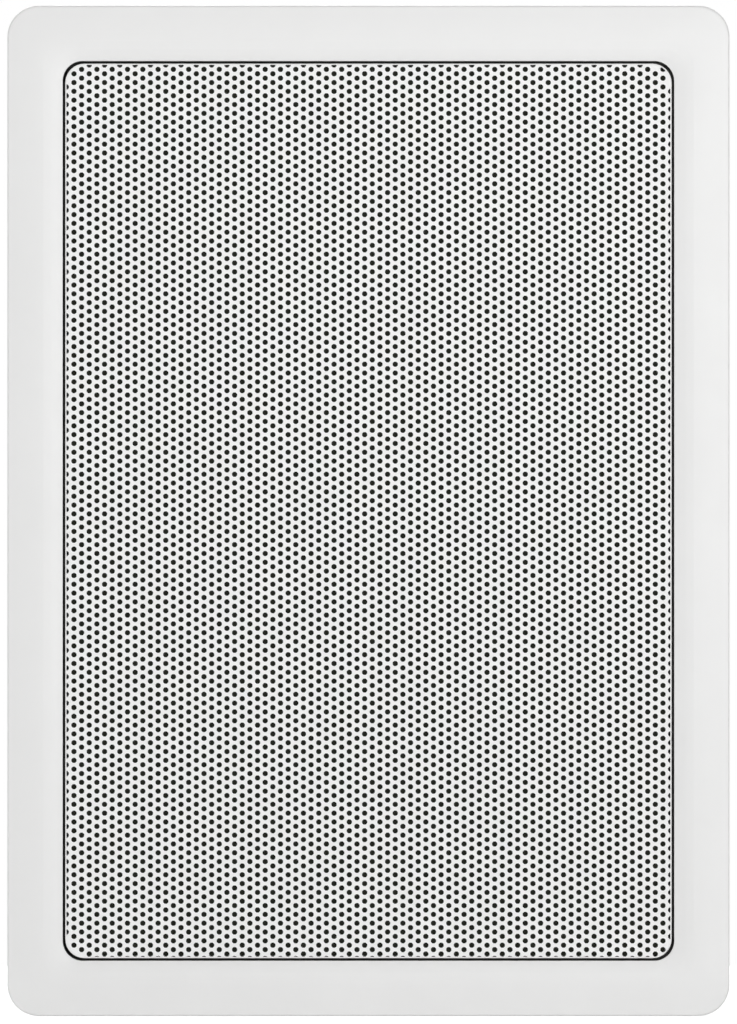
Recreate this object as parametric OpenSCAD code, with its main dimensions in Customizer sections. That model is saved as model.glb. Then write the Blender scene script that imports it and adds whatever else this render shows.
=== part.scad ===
// Rectangular two-way in-wall loudspeaker: a moulded frame, a perforated grille and the drivers behind it.
// X is to the right and Z is up. The front faces -Y, and Y grows into the wall.
// The origin is the middle of the flange's back face, which lies on the wall.

/* [Flange] */
// Overall width of the flange
flange_w = 218; // [212:1:236]
// Overall height of the flange
flange_h = 305; // [299:1:325]
// Radius of the flange's corners
flange_corner_r = 9.4; // [8:0.2:14]
// Width of the band between the flange's edge and the opening
flange_band = 16.7; // [15.6:0.1:18]
// Thickness at the outer edge
flange_edge_t = 5.2; // [4.6:0.1:5.4]
// Thickness at the crown, where the band stands proudest
flange_crown_t = 5.6; // [5.2:0.1:6.6]
// Distance from the outer edge to the crown
flange_crown_in = 9.7; // [8:0.1:11]
// How far the band falls back from the crown to the opening
flange_lip_drop = 0.6; // [0.2:0.1:1]
// Radius of the outer edge
flange_edge_r = 0.6; // [0.4:0.1:1.2]

/* [Pocket] */
// Radius of the opening's corners
opening_corner_r = 6; // [5:0.2:7]
// Wall of the pocket
wall_t = 2.2; // [1.8:0.1:2.8]
// Distance from the flange's back face to the baffle's front
baffle_y = 9; // [8:0.2:12]
// Thickness of the baffle
baffle_t = 3; // [2.4:0.2:4]
// Width of the ledge that carries the grille
ledge_w = 3.4; // [3:0.1:4]
// Depth of the ledge behind the flange's back face
ledge_y = 5; // [3:0.2:5.4]
// Depth of the groove that the grille is pushed into
groove_d = 1.5; // [1:0.1:2.5]

/* [Grille] */
// Shadow gap between the grille and the opening
grille_gap = 0.75; // [0.6:0.05:1.2]
// Radius of the grille's corners
grille_corner_r = 5.8; // [5:0.2:8]
// Thickness of the perforated sheet
grille_t = 0.8; // [0.6:0.1:1]
// Radius of the fold along the grille's edge
grille_fold_r = 1; // [0.8:0.1:1.6]
// How far the grille stands in front of the lip of the flange
grille_proud = 0.2; // [0:0.1:0.6]
// Distance between the holes, about four times that of the real sheet
hole_pitch = 10.5; // [9:0.1:16]
// Diameter of the holes, four times that of the real sheet
hole_d = 6; // [4:0.5:7]
// Thickness of the cloth behind the sheet
cloth_t = 0.3; // [0.2:0.05:0.5]

/* [Woofer] */
// Diameter of the basket's flange
woofer_d = 166; // [160:1:168]
// Diameter of the opening in the baffle
woofer_opening_d = 145; // [142:1:147]
// Distance of the woofer from the lower end of the pocket
woofer_end_in = 5.4; // [3:0.2:7]
// Thickness of the basket's steel
basket_t = 1.2; // [1:0.1:1.6]
// Depth of the basket from the baffle's front to the magnet
basket_depth = 41; // [39:0.5:46]
// Radius of the ledge that the spider is glued to
spider_r = 53; // [51:0.5:54]
// Distance from the spider's ledge to the magnet
spider_to_magnet = 13.2; // [12:0.2:14]
// Width of each window in the basket
window_w = 62; // [50:1:64]
// Diameter of the circle of the screws
woofer_bolt_d = 159; // [158:0.5:160]
// Diameter of the cone
cone_d = 119; // [112:1:122]
// Thickness of the cone
cone_t = 1; // [0.8:0.1:1.4]
// Depth of the cone from its rim to its neck
cone_depth = 25.2; // [22:0.2:26]
// Diameter of the dust cap
dust_cap_d = 40; // [34:1:46]
// Height of the dust cap's dome
dust_cap_rise = 6; // [4:0.5:8]
// Thickness of the surround
surround_t = 0.5; // [0.4:0.1:0.8]
// Thickness of the ring over the rim of the surround
gasket_t = 2; // [1.2:0.2:2.6]
// Thickness of the spider
spider_t = 0.5; // [0.4:0.1:0.8]
// Height of the spider's corrugations
spider_wave = 1.4; // [0.8:0.1:1.8]

/* [Woofer motor] */
// Diameter of the pole
pole_d = 24.4; // [22:0.2:26]
// Clearance inside and outside the voice coil
coil_gap = 0.3; // [0.25:0.05:0.5]
// Thickness of the voice coil's former
former_t = 0.3; // [0.2:0.05:0.4]
// Thickness of the voice coil's winding
winding_t = 0.4; // [0.3:0.05:0.6]
// Length of the voice coil's winding
winding_l = 10; // [8:0.5:12]
// Diameter of the two steel plates
plate_d = 80; // [76:1:86]
// Thickness of the two steel plates
plate_t = 5; // [4:0.5:6]
// Diameter of the ferrite magnet
magnet_d = 90; // [88:1:96]
// Diameter of the hole in the magnet
magnet_hole_d = 45; // [38:1:50]
// Thickness of the magnet
magnet_t = 15; // [14:0.5:20]
// Diameter of the vent through the pole
vent_d = 8; // [6:0.5:10]

/* [Tweeter] */
// Distance between the woofer and the tweeter
tweeter_up = 12; // [10:0.5:14]
// Diameter of the faceplate
faceplate_d = 54; // [53:0.5:56]
// Thickness of the faceplate
faceplate_t = 3; // [2.4:0.2:4]
// Diameter of the dome
dome_d = 25.4; // [24:0.2:26]
// Height of the dome
dome_rise = 4.5; // [3.5:0.1:5.5]
// Diameter of the magnet's cup
cup_d = 40; // [39:0.5:41]
// Thickness of the tweeter's pole plates
tweeter_plate_t = 2.5; // [2:0.1:3]
// Thickness of the tweeter's magnet
tweeter_magnet_t = 4; // [3.6:0.2:6]
// Thickness of the cup's back
cup_t = 3.5; // [2.5:0.1:4]

/* [Clamps] */
// Distance of the clamp screws from the side of the opening
clamp_side_in = 9; // [8.6:0.1:9.6]
// Distance of the clamp screws from the end of the opening
clamp_end_in = 24; // [18:0.5:28]
// Diameter of the clamp screws
clamp_screw_d = 4; // [3.5:0.1:4.5]
// Length of the clamp screws under their heads
clamp_screw_l = 50; // [49:0.5:60]
// Reach of the arms from the screw's axis
arm_reach = 25; // [22:0.5:26]
// Radius of the arm's hub
arm_hub_r = 6; // [5.6:0.1:6.2]
// Thickness of the arm
arm_t = 7; // [6:0.2:8]
// Height of the foot that presses on the wall board
arm_foot = 2; // [1:0.2:3]
// Thinnest wall board that the clamps hold
board_min = 12.5; // [12.5:0.1:14]
// Travel of the arms along their screws
clamp_travel = 31; // [24:0.5:31]

/* [Crossover] */
// Width of the circuit board
pcb_w = 44; // [42:1:46]
// Height of the circuit board
pcb_h = 72; // [70:1:74]
// Distance of the board from the upper end of the pocket
pcb_end_in = 5.4; // [4:0.2:7]
// Distance of the board from the clamp towers
pcb_side_in = 4.3; // [3:0.1:5]
// Thickness of the circuit board
pcb_t = 1.6; // [1.2:0.2:2]
// Height of the standoffs
standoff_h = 8; // [6:0.5:10]
// Diameter of the inductor
inductor_d = 30; // [26:0.5:31]
// Height of the inductor
inductor_h = 14; // [10:0.5:16]
// Diameter of the capacitors
capacitor_d = 11; // [9:0.5:11]
// Length of the capacitors
capacitor_l = 22; // [18:0.5:24]

/* [Terminals] */
// Width of the terminal block between its ears
block_w = 31; // [29:0.5:33]
// Height of the terminal block
block_h = 30; // [28:0.5:32]
// Depth of the terminal block
block_d = 15; // [14:0.5:18]
// Width of the buttons
button_w = 9; // [8:0.2:10]
// Height of the buttons
button_h = 11; // [9:0.2:12]
// Travel of the buttons
button_travel = 3; // [2:0.2:3.4]
// Diameter of the wire entries
entry_d = 3; // [2.4:0.1:3.6]
// Diameter of the inner wires
wire_d = 2.2; // [1.6:0.1:2.6]

/* [Hidden] */

$fn = 48;

// Clearances: between glued pieces, between sliding faces, and round a shaft
bond_gap = 0.05;
slide_gap = 0.1;
shaft_gap = 0.1;
// How far a cut runs past the face that it opens
over = 1;

// Colours
white_plastic = [0.93, 0.93, 0.92];
white_paint = [0.97, 0.97, 0.96];
black_cloth = [0.10, 0.10, 0.10];
black_steel = [0.12, 0.12, 0.13];
black_paper = [0.16, 0.16, 0.17];
black_rubber = [0.09, 0.09, 0.09];
zinc = [0.72, 0.73, 0.75];
brass = [0.80, 0.65, 0.33];
copper = [0.72, 0.42, 0.24];
ferrite = [0.22, 0.22, 0.23];
green_board = [0.12, 0.36, 0.20];

// The opening, the pocket behind it and the wall round them
opening_w = flange_w - 2 * flange_band;
opening_h = flange_h - 2 * flange_band;
pocket_w = opening_w - 2 * ledge_w;
pocket_h = opening_h - 2 * ledge_w;
pocket_corner_r = opening_corner_r - 1;
lip_y = -(flange_crown_t - flange_lip_drop);
groove_y = ledge_y + groove_d;
step_y = groove_y + wall_t;
baffle_back = baffle_y + baffle_t;
flange_slices = 9;
fall_steps = 4;

// The grille
grille_w = opening_w - 2 * grille_gap;
grille_h = opening_h - 2 * grille_gap;
grille_y = lip_y - grille_proud;
cloth_y = grille_y + grille_t;
hole_step = hole_pitch * sin(60);
hole_cols = floor((grille_w / 2 - grille_fold_r - hole_d / 2) / hole_step - 0.5);
hole_rows = floor((grille_h / 2 - grille_fold_r - hole_d / 2) / hole_pitch - 0.25);

// The woofer, from the front to the back
spare_h = pocket_h - woofer_d - faceplate_d;
woofer_z = woofer_d / 2 - pocket_h / 2 + min(woofer_end_in, 0.13 * spare_h);
basket_y = baffle_y - basket_t;
basket_wall_r = woofer_opening_d / 2 - 1;
basket_inner_r = basket_wall_r - basket_t;
magnet_y = baffle_y + basket_depth;
spider_ledge_back = magnet_y - spider_to_magnet + basket_t;
spider_ledge_y = spider_ledge_back - basket_t;
spider_ledge_in = spider_r - 9;
window_y = baffle_y + 7;
window_end = spider_ledge_y - 1.4;
window_corner_r = 5;
seat_hole_r = 20;
rim_y = basket_y - surround_t;
lip_w = 5.5;
gasket_r = basket_inner_r + 5.7;
cone_r = cone_d / 2;
cone_flat = 3;
cone_flare = 1.25;
cone_steps = 10;
roll_in = cone_r;
roll_out = basket_inner_r;
roll_r = (roll_out - roll_in) / 2;
roll_mid = (roll_out + roll_in) / 2;
former_in = pole_d / 2 + coil_gap;
former_out = former_in + former_t;
winding_out = former_out + winding_t;
neck_r = former_out + bond_gap;
former_y = basket_y + cone_depth - 3;
winding_y = magnet_y + plate_t / 2 - winding_l / 2;
former_end = winding_y + winding_l;
plate_hole_r = winding_out + coil_gap;
back_plate_y = magnet_y + plate_t + magnet_t;
woofer_end = back_plate_y + plate_t;
woofer_screw_r = 1.75;
woofer_head_r = 3;
woofer_head_h = 2;
woofer_screw_l = 12;
woofer_boss_h = 9;
bolt_angles = [45, 135, 225, 315];
strip_angle = 45;
strip_w = 18;
strip_t = 6;
strip_h = 8;
strip_r = spider_r - 4;
tag_w = 4.8;
tag_t = 0.8;
tag_l = 7;
tag_off = 5.5;
tinsel_d = 1.4;

// The height of the cone's front face at radius r
function cone_y(r) =
    let (neck = neck_r, out = cone_r - cone_flat, s = max(0, (out - r) / (out - neck)))
    basket_y + cone_depth * pow(s, cone_flare);

// The tweeter, from the front to the back
tweeter_z = woofer_z + woofer_d / 2 + min(tweeter_up, 0.28 * spare_h) + faceplate_d / 2;
faceplate_y = baffle_y - faceplate_t;
dome_r = dome_d / 2;
dome_t = 0.4;
tweeter_gap = 0.4;
tweeter_coil_t = 0.7;
tweeter_coil_l = 5;
tweeter_lip_r = 18.8;
tweeter_lip_t = 0.5;
tweeter_base_y = baffle_y - tweeter_lip_t;
tweeter_roll_r = 1.4;
horn_r = 20.4;
throat_r = 17.2;
cup_r = cup_d / 2;
cup_wall = 3.5;
tweeter_hole_r = cup_r + 0.5;
tweeter_plate_back = baffle_y + tweeter_plate_t;
tweeter_magnet_back = tweeter_plate_back + tweeter_magnet_t;
cup_back = tweeter_magnet_back + cup_t;
tweeter_bolt_r = 23.6;
tweeter_screw_r = 1.2;
tweeter_head_r = 2.4;
tweeter_screw_l = 9;
tweeter_boss_r = 3;
tweeter_boss_h = 6;
tweeter_angles = [90, 210, 330];
tweeter_strip = [20, 8];
tweeter_strip_t = 1.2;
tweeter_tag_off = 6;

// The clamps, whose axes are the same for screw, nut and arm
clamp_x = opening_w / 2 - clamp_side_in;
clamp_z = opening_h / 2 - clamp_end_in;
clamp_r = clamp_screw_d / 2;
clamp_head_r = 3.8;
clamp_head_h = 2.6;
foot_y = board_min + clamp_travel;
arm_front = foot_y + arm_foot;
arm_back = arm_front + arm_t;
arm_tip_r = 4;
nut_r = 3.4;
nut_flange_r = 5;
nut_flange_t = 1.2;
tower_plate_y = arm_back + slide_gap + nut_flange_t + 0.5;
tower_plate_t = 3;
tower_end = tower_plate_y + tower_plate_t;
tower_wall = 2.4;
tower_in = arm_hub_r + 0.6;
tower_out = tower_in + tower_wall;
tower_side = 7;
tower_run = 20;
retainer_r = 4.2;
retainer_t = 0.8;

// The crossover board and what stands on it
pcb_x = clamp_x - tower_out - pcb_side_in - pcb_w / 2;
pcb_z = pocket_h / 2 - pcb_end_in - pcb_h / 2;
pcb_y = baffle_back + standoff_h;
pcb_back = pcb_y + pcb_t;
pcb_screw_in = 4;
standoff_r = 3.2;
small_screw_r = 1.25;
small_head_r = 2.6;
small_head_h = 2;
inductor_z = pcb_z - 11;
bobbin_core_r = 7;
bobbin_flange_t = 1.5;
capacitor_z = [pcb_z + 11, pcb_z + 23];
capacitor_lead_r = 0.4;
capacitor_foot = 3;
capacitor_lift = 0.3;
resistor_size = [20, 7.5, 7.5];
resistor_z = pcb_z - 31.5;
pad_x = pcb_x - pcb_w / 2 + 3;

// The terminal block
block_ear_w = 7.5;
block_x = -(clamp_x - tower_out - 2.8 - block_w / 2 - block_ear_w);
block_z = pocket_h / 2 - 25.4 - block_h / 2;
block_ear_t = 4;
block_back = baffle_back + block_d;
button_off = 8;
button_up = 4;
button_gap = 0.3;
button_out = 4;
button_y = block_back - 7;
button_end = block_back + button_out;
well_y = button_y - button_travel - 0.4;
spring_well_r = 2.9;
spring_roof = 3;
spring_r = 2.2;
spring_wire_r = 0.3;
spring_turns = 5;
entry_down = 9;
contact_w = 8;
contact_t = 0.8;
contact_tag = 5;
contact_low = 12;
contact_room = 0.2;
block_screw_off = block_w / 2 + block_ear_w / 2;

// Ribs behind the baffle
rib_t = 2;
rib_h = 6;
rib_ring_r = basket_wall_r + 4;
rib_x = 24;
rib_z = woofer_z + woofer_d / 2 + 1;
rib_top = pocket_h / 2 - 4;

// Extrudes a drawing of the front view, x and z, from depth y0 to depth y1
module slab(y0, y1) {
    rotate([90, 0, 0]) translate([0, 0, -y1]) linear_extrude(y1 - y0) children();
}

// Turns a drawing of radius and depth round the axis at x and z
module turned(x, z) {
    translate([x, 0, z]) rotate([-90, 0, 0]) rotate_extrude($fn = 96) children();
}

// A thin dome of radius r that bulges forward by rise from its rim at depth 0
module dome_cap(r, rise, t) {
    ball_r = (pow(r, 2) + pow(rise, 2)) / (2 * rise);
    intersection() {
        translate([0, ball_r - rise, 0])
            difference() {
                sphere(ball_r, $fn = 96);
                sphere(ball_r - t, $fn = 96);
            }
        turned(0, 0)
            ring_profile(0, r, -rise, 0);
    }
}

// A block from one corner to the other, in depth y0 to y1
module block(x0, x1, y0, y1, z0, z1) {
    translate([x0, y0, z0]) cube([x1 - x0, y1 - y0, z1 - z0]);
}

module rounded_rect(w, h, r) {
    square([w - 2 * r, h], center = true);
    square([w, h - 2 * r], center = true);
    for (sx = [-1, 1])
        for (sz = [-1, 1])
            translate([sx * (w / 2 - r), sz * (h / 2 - r)]) circle(r);
}

// A ring drawn as radius and depth
module ring_profile(r0, r1, y0, y1) {
    translate([r0, y0]) square([r1 - r0, y1 - y0]);
}

// Places a child, drawn for the upper right corner, at the corner given by its signs
module at_corner(corner) {
    translate([corner[0] * clamp_x, 0, corner[1] * clamp_z])
        mirror([corner[0] < 0 ? 1 : 0, 0, 0])
            mirror([0, 0, corner[1] < 0 ? 1 : 0])
                children();
}

UPPER_LEFT = [-1, 1];
UPPER_RIGHT = [1, 1];
LOWER_LEFT = [-1, -1];
LOWER_RIGHT = [1, -1];
CORNERS = [UPPER_LEFT, UPPER_RIGHT, LOWER_LEFT, LOWER_RIGHT];

// Places children round an axis at the angles of a bolt circle
module round_axis(x, z, r, angles) {
    for (a = angles)
        translate([x + r * cos(a), 0, z + r * sin(a)]) children();
}

// A tube along a smooth curve through the points, with flat ends square to the first and last stretch
function spline_at(a, b, c, d, t) =
    0.5 * ((2 * b) + (c - a) * t + (2 * a - 5 * b + 4 * c - d) * t * t + (3 * b - a - 3 * c + d) * t * t * t);
function spline(points, steps) =
    let (last = len(points) - 1)
    [
        for (i = [0 : last - 1])
            for (k = [0 : steps - 1])
                spline_at(
                    points[max(i - 1, 0)], points[i], points[i + 1], points[min(i + 2, last)], k / steps
                ),
        points[last]
    ];
function unit(v) = v / norm(v);
function square_to(v, t) = unit(v - (v * t) * t);
function tangents(route, path) =
    let (last = len(path) - 1, end = len(route) - 1)
    [
        for (i = [0 : last])
            i == 0 ? unit(route[1] - route[0])
            : i == last ? unit(route[end] - route[end - 1])
            : unit(path[i + 1] - path[i - 1])
    ];
function side_of(t) = abs(t[0]) < 0.7 ? [1, 0, 0] : [0, 0, 1];
function normals(t) =
    [for (i = 0, n = square_to(side_of(t[0]), t[0]); i < len(t);
        i = i + 1, n = i < len(t) ? square_to(n, t[i]) : n) n];

module tube(route, r, steps = 3, sides = 8) {
    path = spline(route, steps);
    t = tangents(route, path);
    n = normals(t);
    rings = len(path);
    points = [
        for (i = [0 : rings - 1])
            for (k = [0 : sides - 1])
                path[i] + r * (cos(360 * k / sides) * n[i] + sin(360 * k / sides) * cross(t[i], n[i]))
    ];
    walls = [
        for (i = [0 : rings - 2])
            for (k = [0 : sides - 1])
                let (j = (k + 1) % sides)
                [i * sides + k, i * sides + j, (i + 1) * sides + j, (i + 1) * sides + k]
    ];
    front = [for (k = [sides - 1 : -1 : 0]) k];
    back = [for (k = [0 : sides - 1]) (rings - 1) * sides + k];
    polyhedron(points, [for (f = concat(walls, [front, back])) [for (k = [len(f) - 1 : -1 : 0]) f[k]]]);
}

// A pan head with a cross recess, its bearing face at depth y and its top towards the front
module pan_head(r, h, y) {
    difference() {
        rotate([-90, 0, 0])
            rotate_extrude()
                intersection() {
                    translate([0, y - h]) square([r, h]);
                    translate([0, y - h + 1.6 * r]) circle(1.6 * r, $fn = 96);
                }
        for (a = [0, 90])
            rotate([0, a, 0])
                block(-0.62 * r, 0.62 * r, y - h - over, y - h + 0.55 * h, -0.14 * r, 0.14 * r);
    }
}

// A screw with its bearing face at depth y, pointing backwards
module screw(head_r, head_h, r, l, y) {
    pan_head(head_r, head_h, y);
    rotate([-90, 0, 0])
        rotate_extrude()
            polygon([[0, y - 0.1], [r, y - 0.1], [r, y + l - r], [0.45 * r, y + l], [0, y + l]]);
}

// The band of the flange: thicker from the edge to the crown, then falling back to the opening
function flange_inset(k) =
    k == 0 ? 0
    : k <= 3 ? flange_edge_r * (1 - cos(30 * k))
    : flange_edge_r + (flange_crown_in - flange_edge_r) * (k - 3) / (flange_slices - 3);
function flange_height(k) =
    k == 0 ? flange_edge_t - flange_edge_r
    : k <= 3 ? flange_edge_t - flange_edge_r * (1 - sin(30 * k))
    : flange_edge_t + (flange_crown_t - flange_edge_t) * sin(90 * (k - 3) / (flange_slices - 3));
function flange_r(inset) =
    flange_corner_r + (opening_corner_r - flange_corner_r) * inset / flange_band;

module flange_outline(inset) {
    rounded_rect(flange_w - 2 * inset, flange_h - 2 * inset, flange_r(inset));
}

module flange_body() {
    thin = 0.02;
    hull() {
        slab(-flange_height(0), 0) flange_outline(0);
        for (k = [1 : flange_slices])
            slab(-flange_height(k), -flange_height(k) + thin) flange_outline(flange_inset(k));
    }
}

// What the rounded fall from the crown takes off: each step is a tangent of the curve,
// run on past the crown and past the opening by one length
module flange_fall() {
    past = 1;
    thin = 0.02;
    run = flange_band - flange_crown_in;
    for (k = [1 : fall_steps]) {
        share = (k - 0.5) / fall_steps;
        slope = 2 * flange_lip_drop * share / run;
        // Heights of the tangent at the crown and at the opening
        start = flange_crown_t + flange_lip_drop * pow(share, 2);
        end = start - slope * run;
        hull() {
            slab(-start - slope * past, -start - slope * past + thin) flange_outline(flange_crown_in - past);
            slab(-end + slope * past - thin, -end + slope * past) flange_outline(flange_band + past);
            slab(-flange_crown_t - 2, -flange_crown_t - 2 + thin) flange_outline(flange_crown_in - past);
        }
    }
}

module clamp_tower() {
    block(-tower_out, -tower_in, baffle_back, tower_end, -tower_run, tower_out);
    block(-tower_out, tower_side, baffle_back, tower_end, tower_in, tower_out);
    block(-tower_out, tower_side, tower_plate_y, tower_end, -tower_in, tower_out);
}

module frame_ribs() {
    ring_top = woofer_z + sqrt(pow(rib_ring_r, 2) - pow(rib_x, 2));
    slab(baffle_back, baffle_back + rib_h)
        translate([0, woofer_z])
            difference() {
                circle(rib_ring_r, $fn = 96);
                circle(rib_ring_r - rib_t, $fn = 96);
                translate([-2 * rib_ring_r, -2 * rib_ring_r])
                    square([4 * rib_ring_r, 2 * rib_ring_r - 8]);
            }
    for (s = [-1, 1])
        block(s * rib_x - rib_t / 2, s * rib_x + rib_t / 2, baffle_back, baffle_back + rib_h, ring_top - 1, rib_top);
    block(-pocket_w / 2 + 8, pocket_w / 2 - 8, baffle_back, baffle_back + rib_h, rib_z, rib_z + rib_t);
}

module frame_bosses() {
    round_axis(0, woofer_z, woofer_bolt_d / 2, bolt_angles)
        slab(baffle_back, baffle_back + woofer_boss_h) circle(2.4 * woofer_screw_r);
    round_axis(0, tweeter_z, tweeter_bolt_r, tweeter_angles)
        slab(baffle_back, baffle_back + tweeter_boss_h) circle(tweeter_boss_r);
    pcb_corners() slab(baffle_back, pcb_y) circle(standoff_r);
}

module pcb_corners() {
    for (sx = [-1, 1])
        for (sz = [-1, 1])
            translate([
                pcb_x + sx * (pcb_w / 2 - pcb_screw_in), 0, pcb_z + sz * (pcb_h / 2 - pcb_screw_in)
            ])
                children();
}

module block_holes() {
    for (s = [-1, 1])
        translate([block_x + s * block_screw_off, 0, block_z]) children();
}

module frame_holes() {
    slab(baffle_y - over, baffle_back + over) {
        translate([0, woofer_z]) circle(woofer_opening_d / 2, $fn = 96);
        translate([0, tweeter_z]) circle(tweeter_hole_r, $fn = 96);
    }
    for (corner = CORNERS)
        at_corner(corner) slab(baffle_y - over, tower_end + over) circle(clamp_r + shaft_gap);
    round_axis(0, woofer_z, woofer_bolt_d / 2, bolt_angles)
        slab(baffle_y - over, baffle_back + woofer_boss_h - 1) circle(woofer_screw_r + bond_gap);
    round_axis(0, tweeter_z, tweeter_bolt_r, tweeter_angles)
        slab(baffle_y - over, baffle_back + tweeter_boss_h - 1) circle(tweeter_screw_r + bond_gap);
    pcb_corners() slab(pcb_y - standoff_h + 1, pcb_y + over) circle(small_screw_r + bond_gap);
    block_holes() slab(baffle_y + 0.6, baffle_back + over) circle(small_screw_r + bond_gap);
}

module frame() {
    color(white_plastic)
        difference() {
            union() {
                flange_body();
                slab(-0.4, step_y)
                    rounded_rect(opening_w + 2 * wall_t, opening_h + 2 * wall_t, opening_corner_r + wall_t);
                slab(0, baffle_back)
                    rounded_rect(pocket_w + 2 * wall_t, pocket_h + 2 * wall_t, pocket_corner_r + wall_t);
                for (corner = CORNERS)
                    at_corner(corner) clamp_tower();
                frame_ribs();
                frame_bosses();
            }
            flange_fall();
            slab(-flange_crown_t - over, ledge_y) rounded_rect(opening_w, opening_h, opening_corner_r);
            slab(ledge_y - over, groove_y) grille_groove();
            slab(ledge_y - over, baffle_y) rounded_rect(pocket_w, pocket_h, pocket_corner_r);
            frame_holes();
        }
}

// The groove is the outline of the folded skirt, opened by the sliding clearance
module grille_groove() {
    difference() {
        rounded_rect(grille_w + 2 * slide_gap, grille_h + 2 * slide_gap, grille_corner_r + slide_gap);
        rounded_rect(
            grille_w - 2 * (grille_t + slide_gap),
            grille_h - 2 * (grille_t + slide_gap),
            grille_corner_r - grille_t - slide_gap
        );
    }
}

// Half of a bar's section: a rectangle with one rounded corner, w from its middle, from depth y0 to y1
module folded_section(w, y0, y1) {
    translate([0, y0 + grille_fold_r]) square([w, y1 - y0 - grille_fold_r]);
    translate([0, y0]) square([w - grille_fold_r, grille_fold_r + 0.1]);
    translate([w - grille_fold_r, y0 + grille_fold_r]) circle(grille_fold_r);
}

module folded_outside() {
    straight_w = grille_w - 2 * grille_corner_r;
    straight_h = grille_h - 2 * grille_corner_r;
    for (s = [-1, 1]) {
        rotate([0, 0, s < 0 ? 180 : 0])
            mirror([0, s < 0 ? 1 : 0, 0])
                translate([0, 0, -straight_h / 2])
                    linear_extrude(straight_h) folded_section(grille_w / 2, grille_y, groove_y);
        mirror([0, 0, s < 0 ? 1 : 0])
            translate([-straight_w / 2, 0, 0])
                rotate([90, 0, 90])
                    linear_extrude(straight_w) mirror([0, 0]) section_up();
    }
    for (sx = [-1, 1])
        for (sz = [-1, 1])
            turned(sx * straight_w / 2, sz * straight_h / 2)
                folded_section(grille_corner_r, grille_y, groove_y);
}

// The same section drawn with depth first and height second
module section_up() {
    w = grille_h / 2;
    translate([grille_y + grille_fold_r, 0]) square([groove_y - grille_y - grille_fold_r, w]);
    translate([grille_y, 0]) square([grille_fold_r + 0.1, w - grille_fold_r]);
    translate([grille_y + grille_fold_r, w - grille_fold_r]) circle(grille_fold_r);
}

module perforation() {
    for (i = [-hole_cols - 1 : hole_cols])
        for (j = [-hole_rows : hole_rows])
            translate([(i + 0.5) * hole_step, (j + (i % 2 == 0 ? 0.25 : -0.25)) * hole_pitch])
                circle(hole_d / 2, $fn = 16);
}

module grille() {
    color(white_paint)
        difference() {
            folded_outside();
            slab(cloth_y, groove_y + over)
                rounded_rect(grille_w - 2 * grille_t, grille_h - 2 * grille_t, grille_corner_r - grille_t);
            slab(grille_y - over, cloth_y + over) perforation();
        }
}

module grille_cloth() {
    edge = grille_t + slide_gap;
    color(black_cloth)
        slab(cloth_y, cloth_y + cloth_t)
            rounded_rect(grille_w - 2 * edge, grille_h - 2 * edge, grille_corner_r - edge);
}

module basket_window() {
    mid_y = (window_y + window_end) / 2;
    translate([spider_ledge_in, mid_y, 0])
        rotate([90, 0, 90])
            linear_extrude(woofer_d / 2) rounded_rect_upright();
}

module rounded_rect_upright() {
    high = window_end - window_y;
    rotate(90) rounded_rect(window_w, high, window_corner_r);
}

module woofer_basket() {
    ledge_in = spider_ledge_in - basket_t;
    shoulder_y = baffle_y + 5;
    color(black_steel)
        difference() {
            turned(0, woofer_z)
                polygon([
                    [basket_inner_r, basket_y], [woofer_d / 2, basket_y], [woofer_d / 2, baffle_y],
                    [basket_wall_r, baffle_y], [basket_wall_r, shoulder_y], [spider_r + 1, spider_ledge_back],
                    [spider_ledge_in, spider_ledge_back], [spider_ledge_in, magnet_y], [seat_hole_r, magnet_y],
                    [seat_hole_r, magnet_y - basket_t], [ledge_in, magnet_y - basket_t],
                    [ledge_in, spider_ledge_y], [spider_r + 0.3, spider_ledge_y],
                    [basket_inner_r, shoulder_y - 0.4]
                ]);
            translate([0, 0, woofer_z])
                for (a = [0, 90, 180, 270])
                    rotate([0, a, 0]) basket_window();
            round_axis(0, woofer_z, woofer_bolt_d / 2, bolt_angles)
                slab(basket_y - over, baffle_y + over) circle(woofer_screw_r + 0.25);
        }
}

module woofer_gasket() {
    color(black_rubber)
        turned(0, woofer_z) ring_profile(basket_inner_r + 0.6, gasket_r, rim_y - gasket_t, rim_y);
}

module woofer_surround() {
    color(black_rubber)
        turned(0, woofer_z) {
            ring_profile(cone_r - cone_flat, roll_in + surround_t, rim_y, basket_y);
            ring_profile(roll_out - surround_t, gasket_r, rim_y, basket_y);
            intersection() {
                translate([roll_mid, basket_y])
                    difference() {
                        circle(roll_r, $fn = 64);
                        circle(roll_r - surround_t, $fn = 64);
                    }
                ring_profile(roll_in, roll_out, basket_y - roll_r, basket_y);
            }
        }
}

module woofer_cone() {
    out = cone_r - cone_flat;
    radii = [for (k = [0 : cone_steps]) out - (out - neck_r) * k / cone_steps];
    color(black_paper)
        turned(0, woofer_z)
            polygon(concat(
                [[cone_r, basket_y]],
                [for (r = radii) [r, cone_y(r)]],
                [for (k = [cone_steps : -1 : 0]) [radii[k], cone_y(radii[k]) + cone_t]],
                [[cone_r, basket_y + cone_t]]
            ));
}

module woofer_dust_cap() {
    cap_r = dust_cap_d / 2;
    cap_t = 0.5;
    foot_y = cone_y(cap_r) - bond_gap;
    color(black_paper)
        translate([0, foot_y, woofer_z])
            dome_cap(cap_r, dust_cap_rise, cap_t);
}

module voice_coil_former() {
    color(brass)
        turned(0, woofer_z) ring_profile(former_in, former_out, former_y, former_end);
}

module voice_coil_winding() {
    color(copper)
        turned(0, woofer_z) ring_profile(former_out + bond_gap, winding_out, winding_y, winding_y + winding_l);
}

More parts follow.
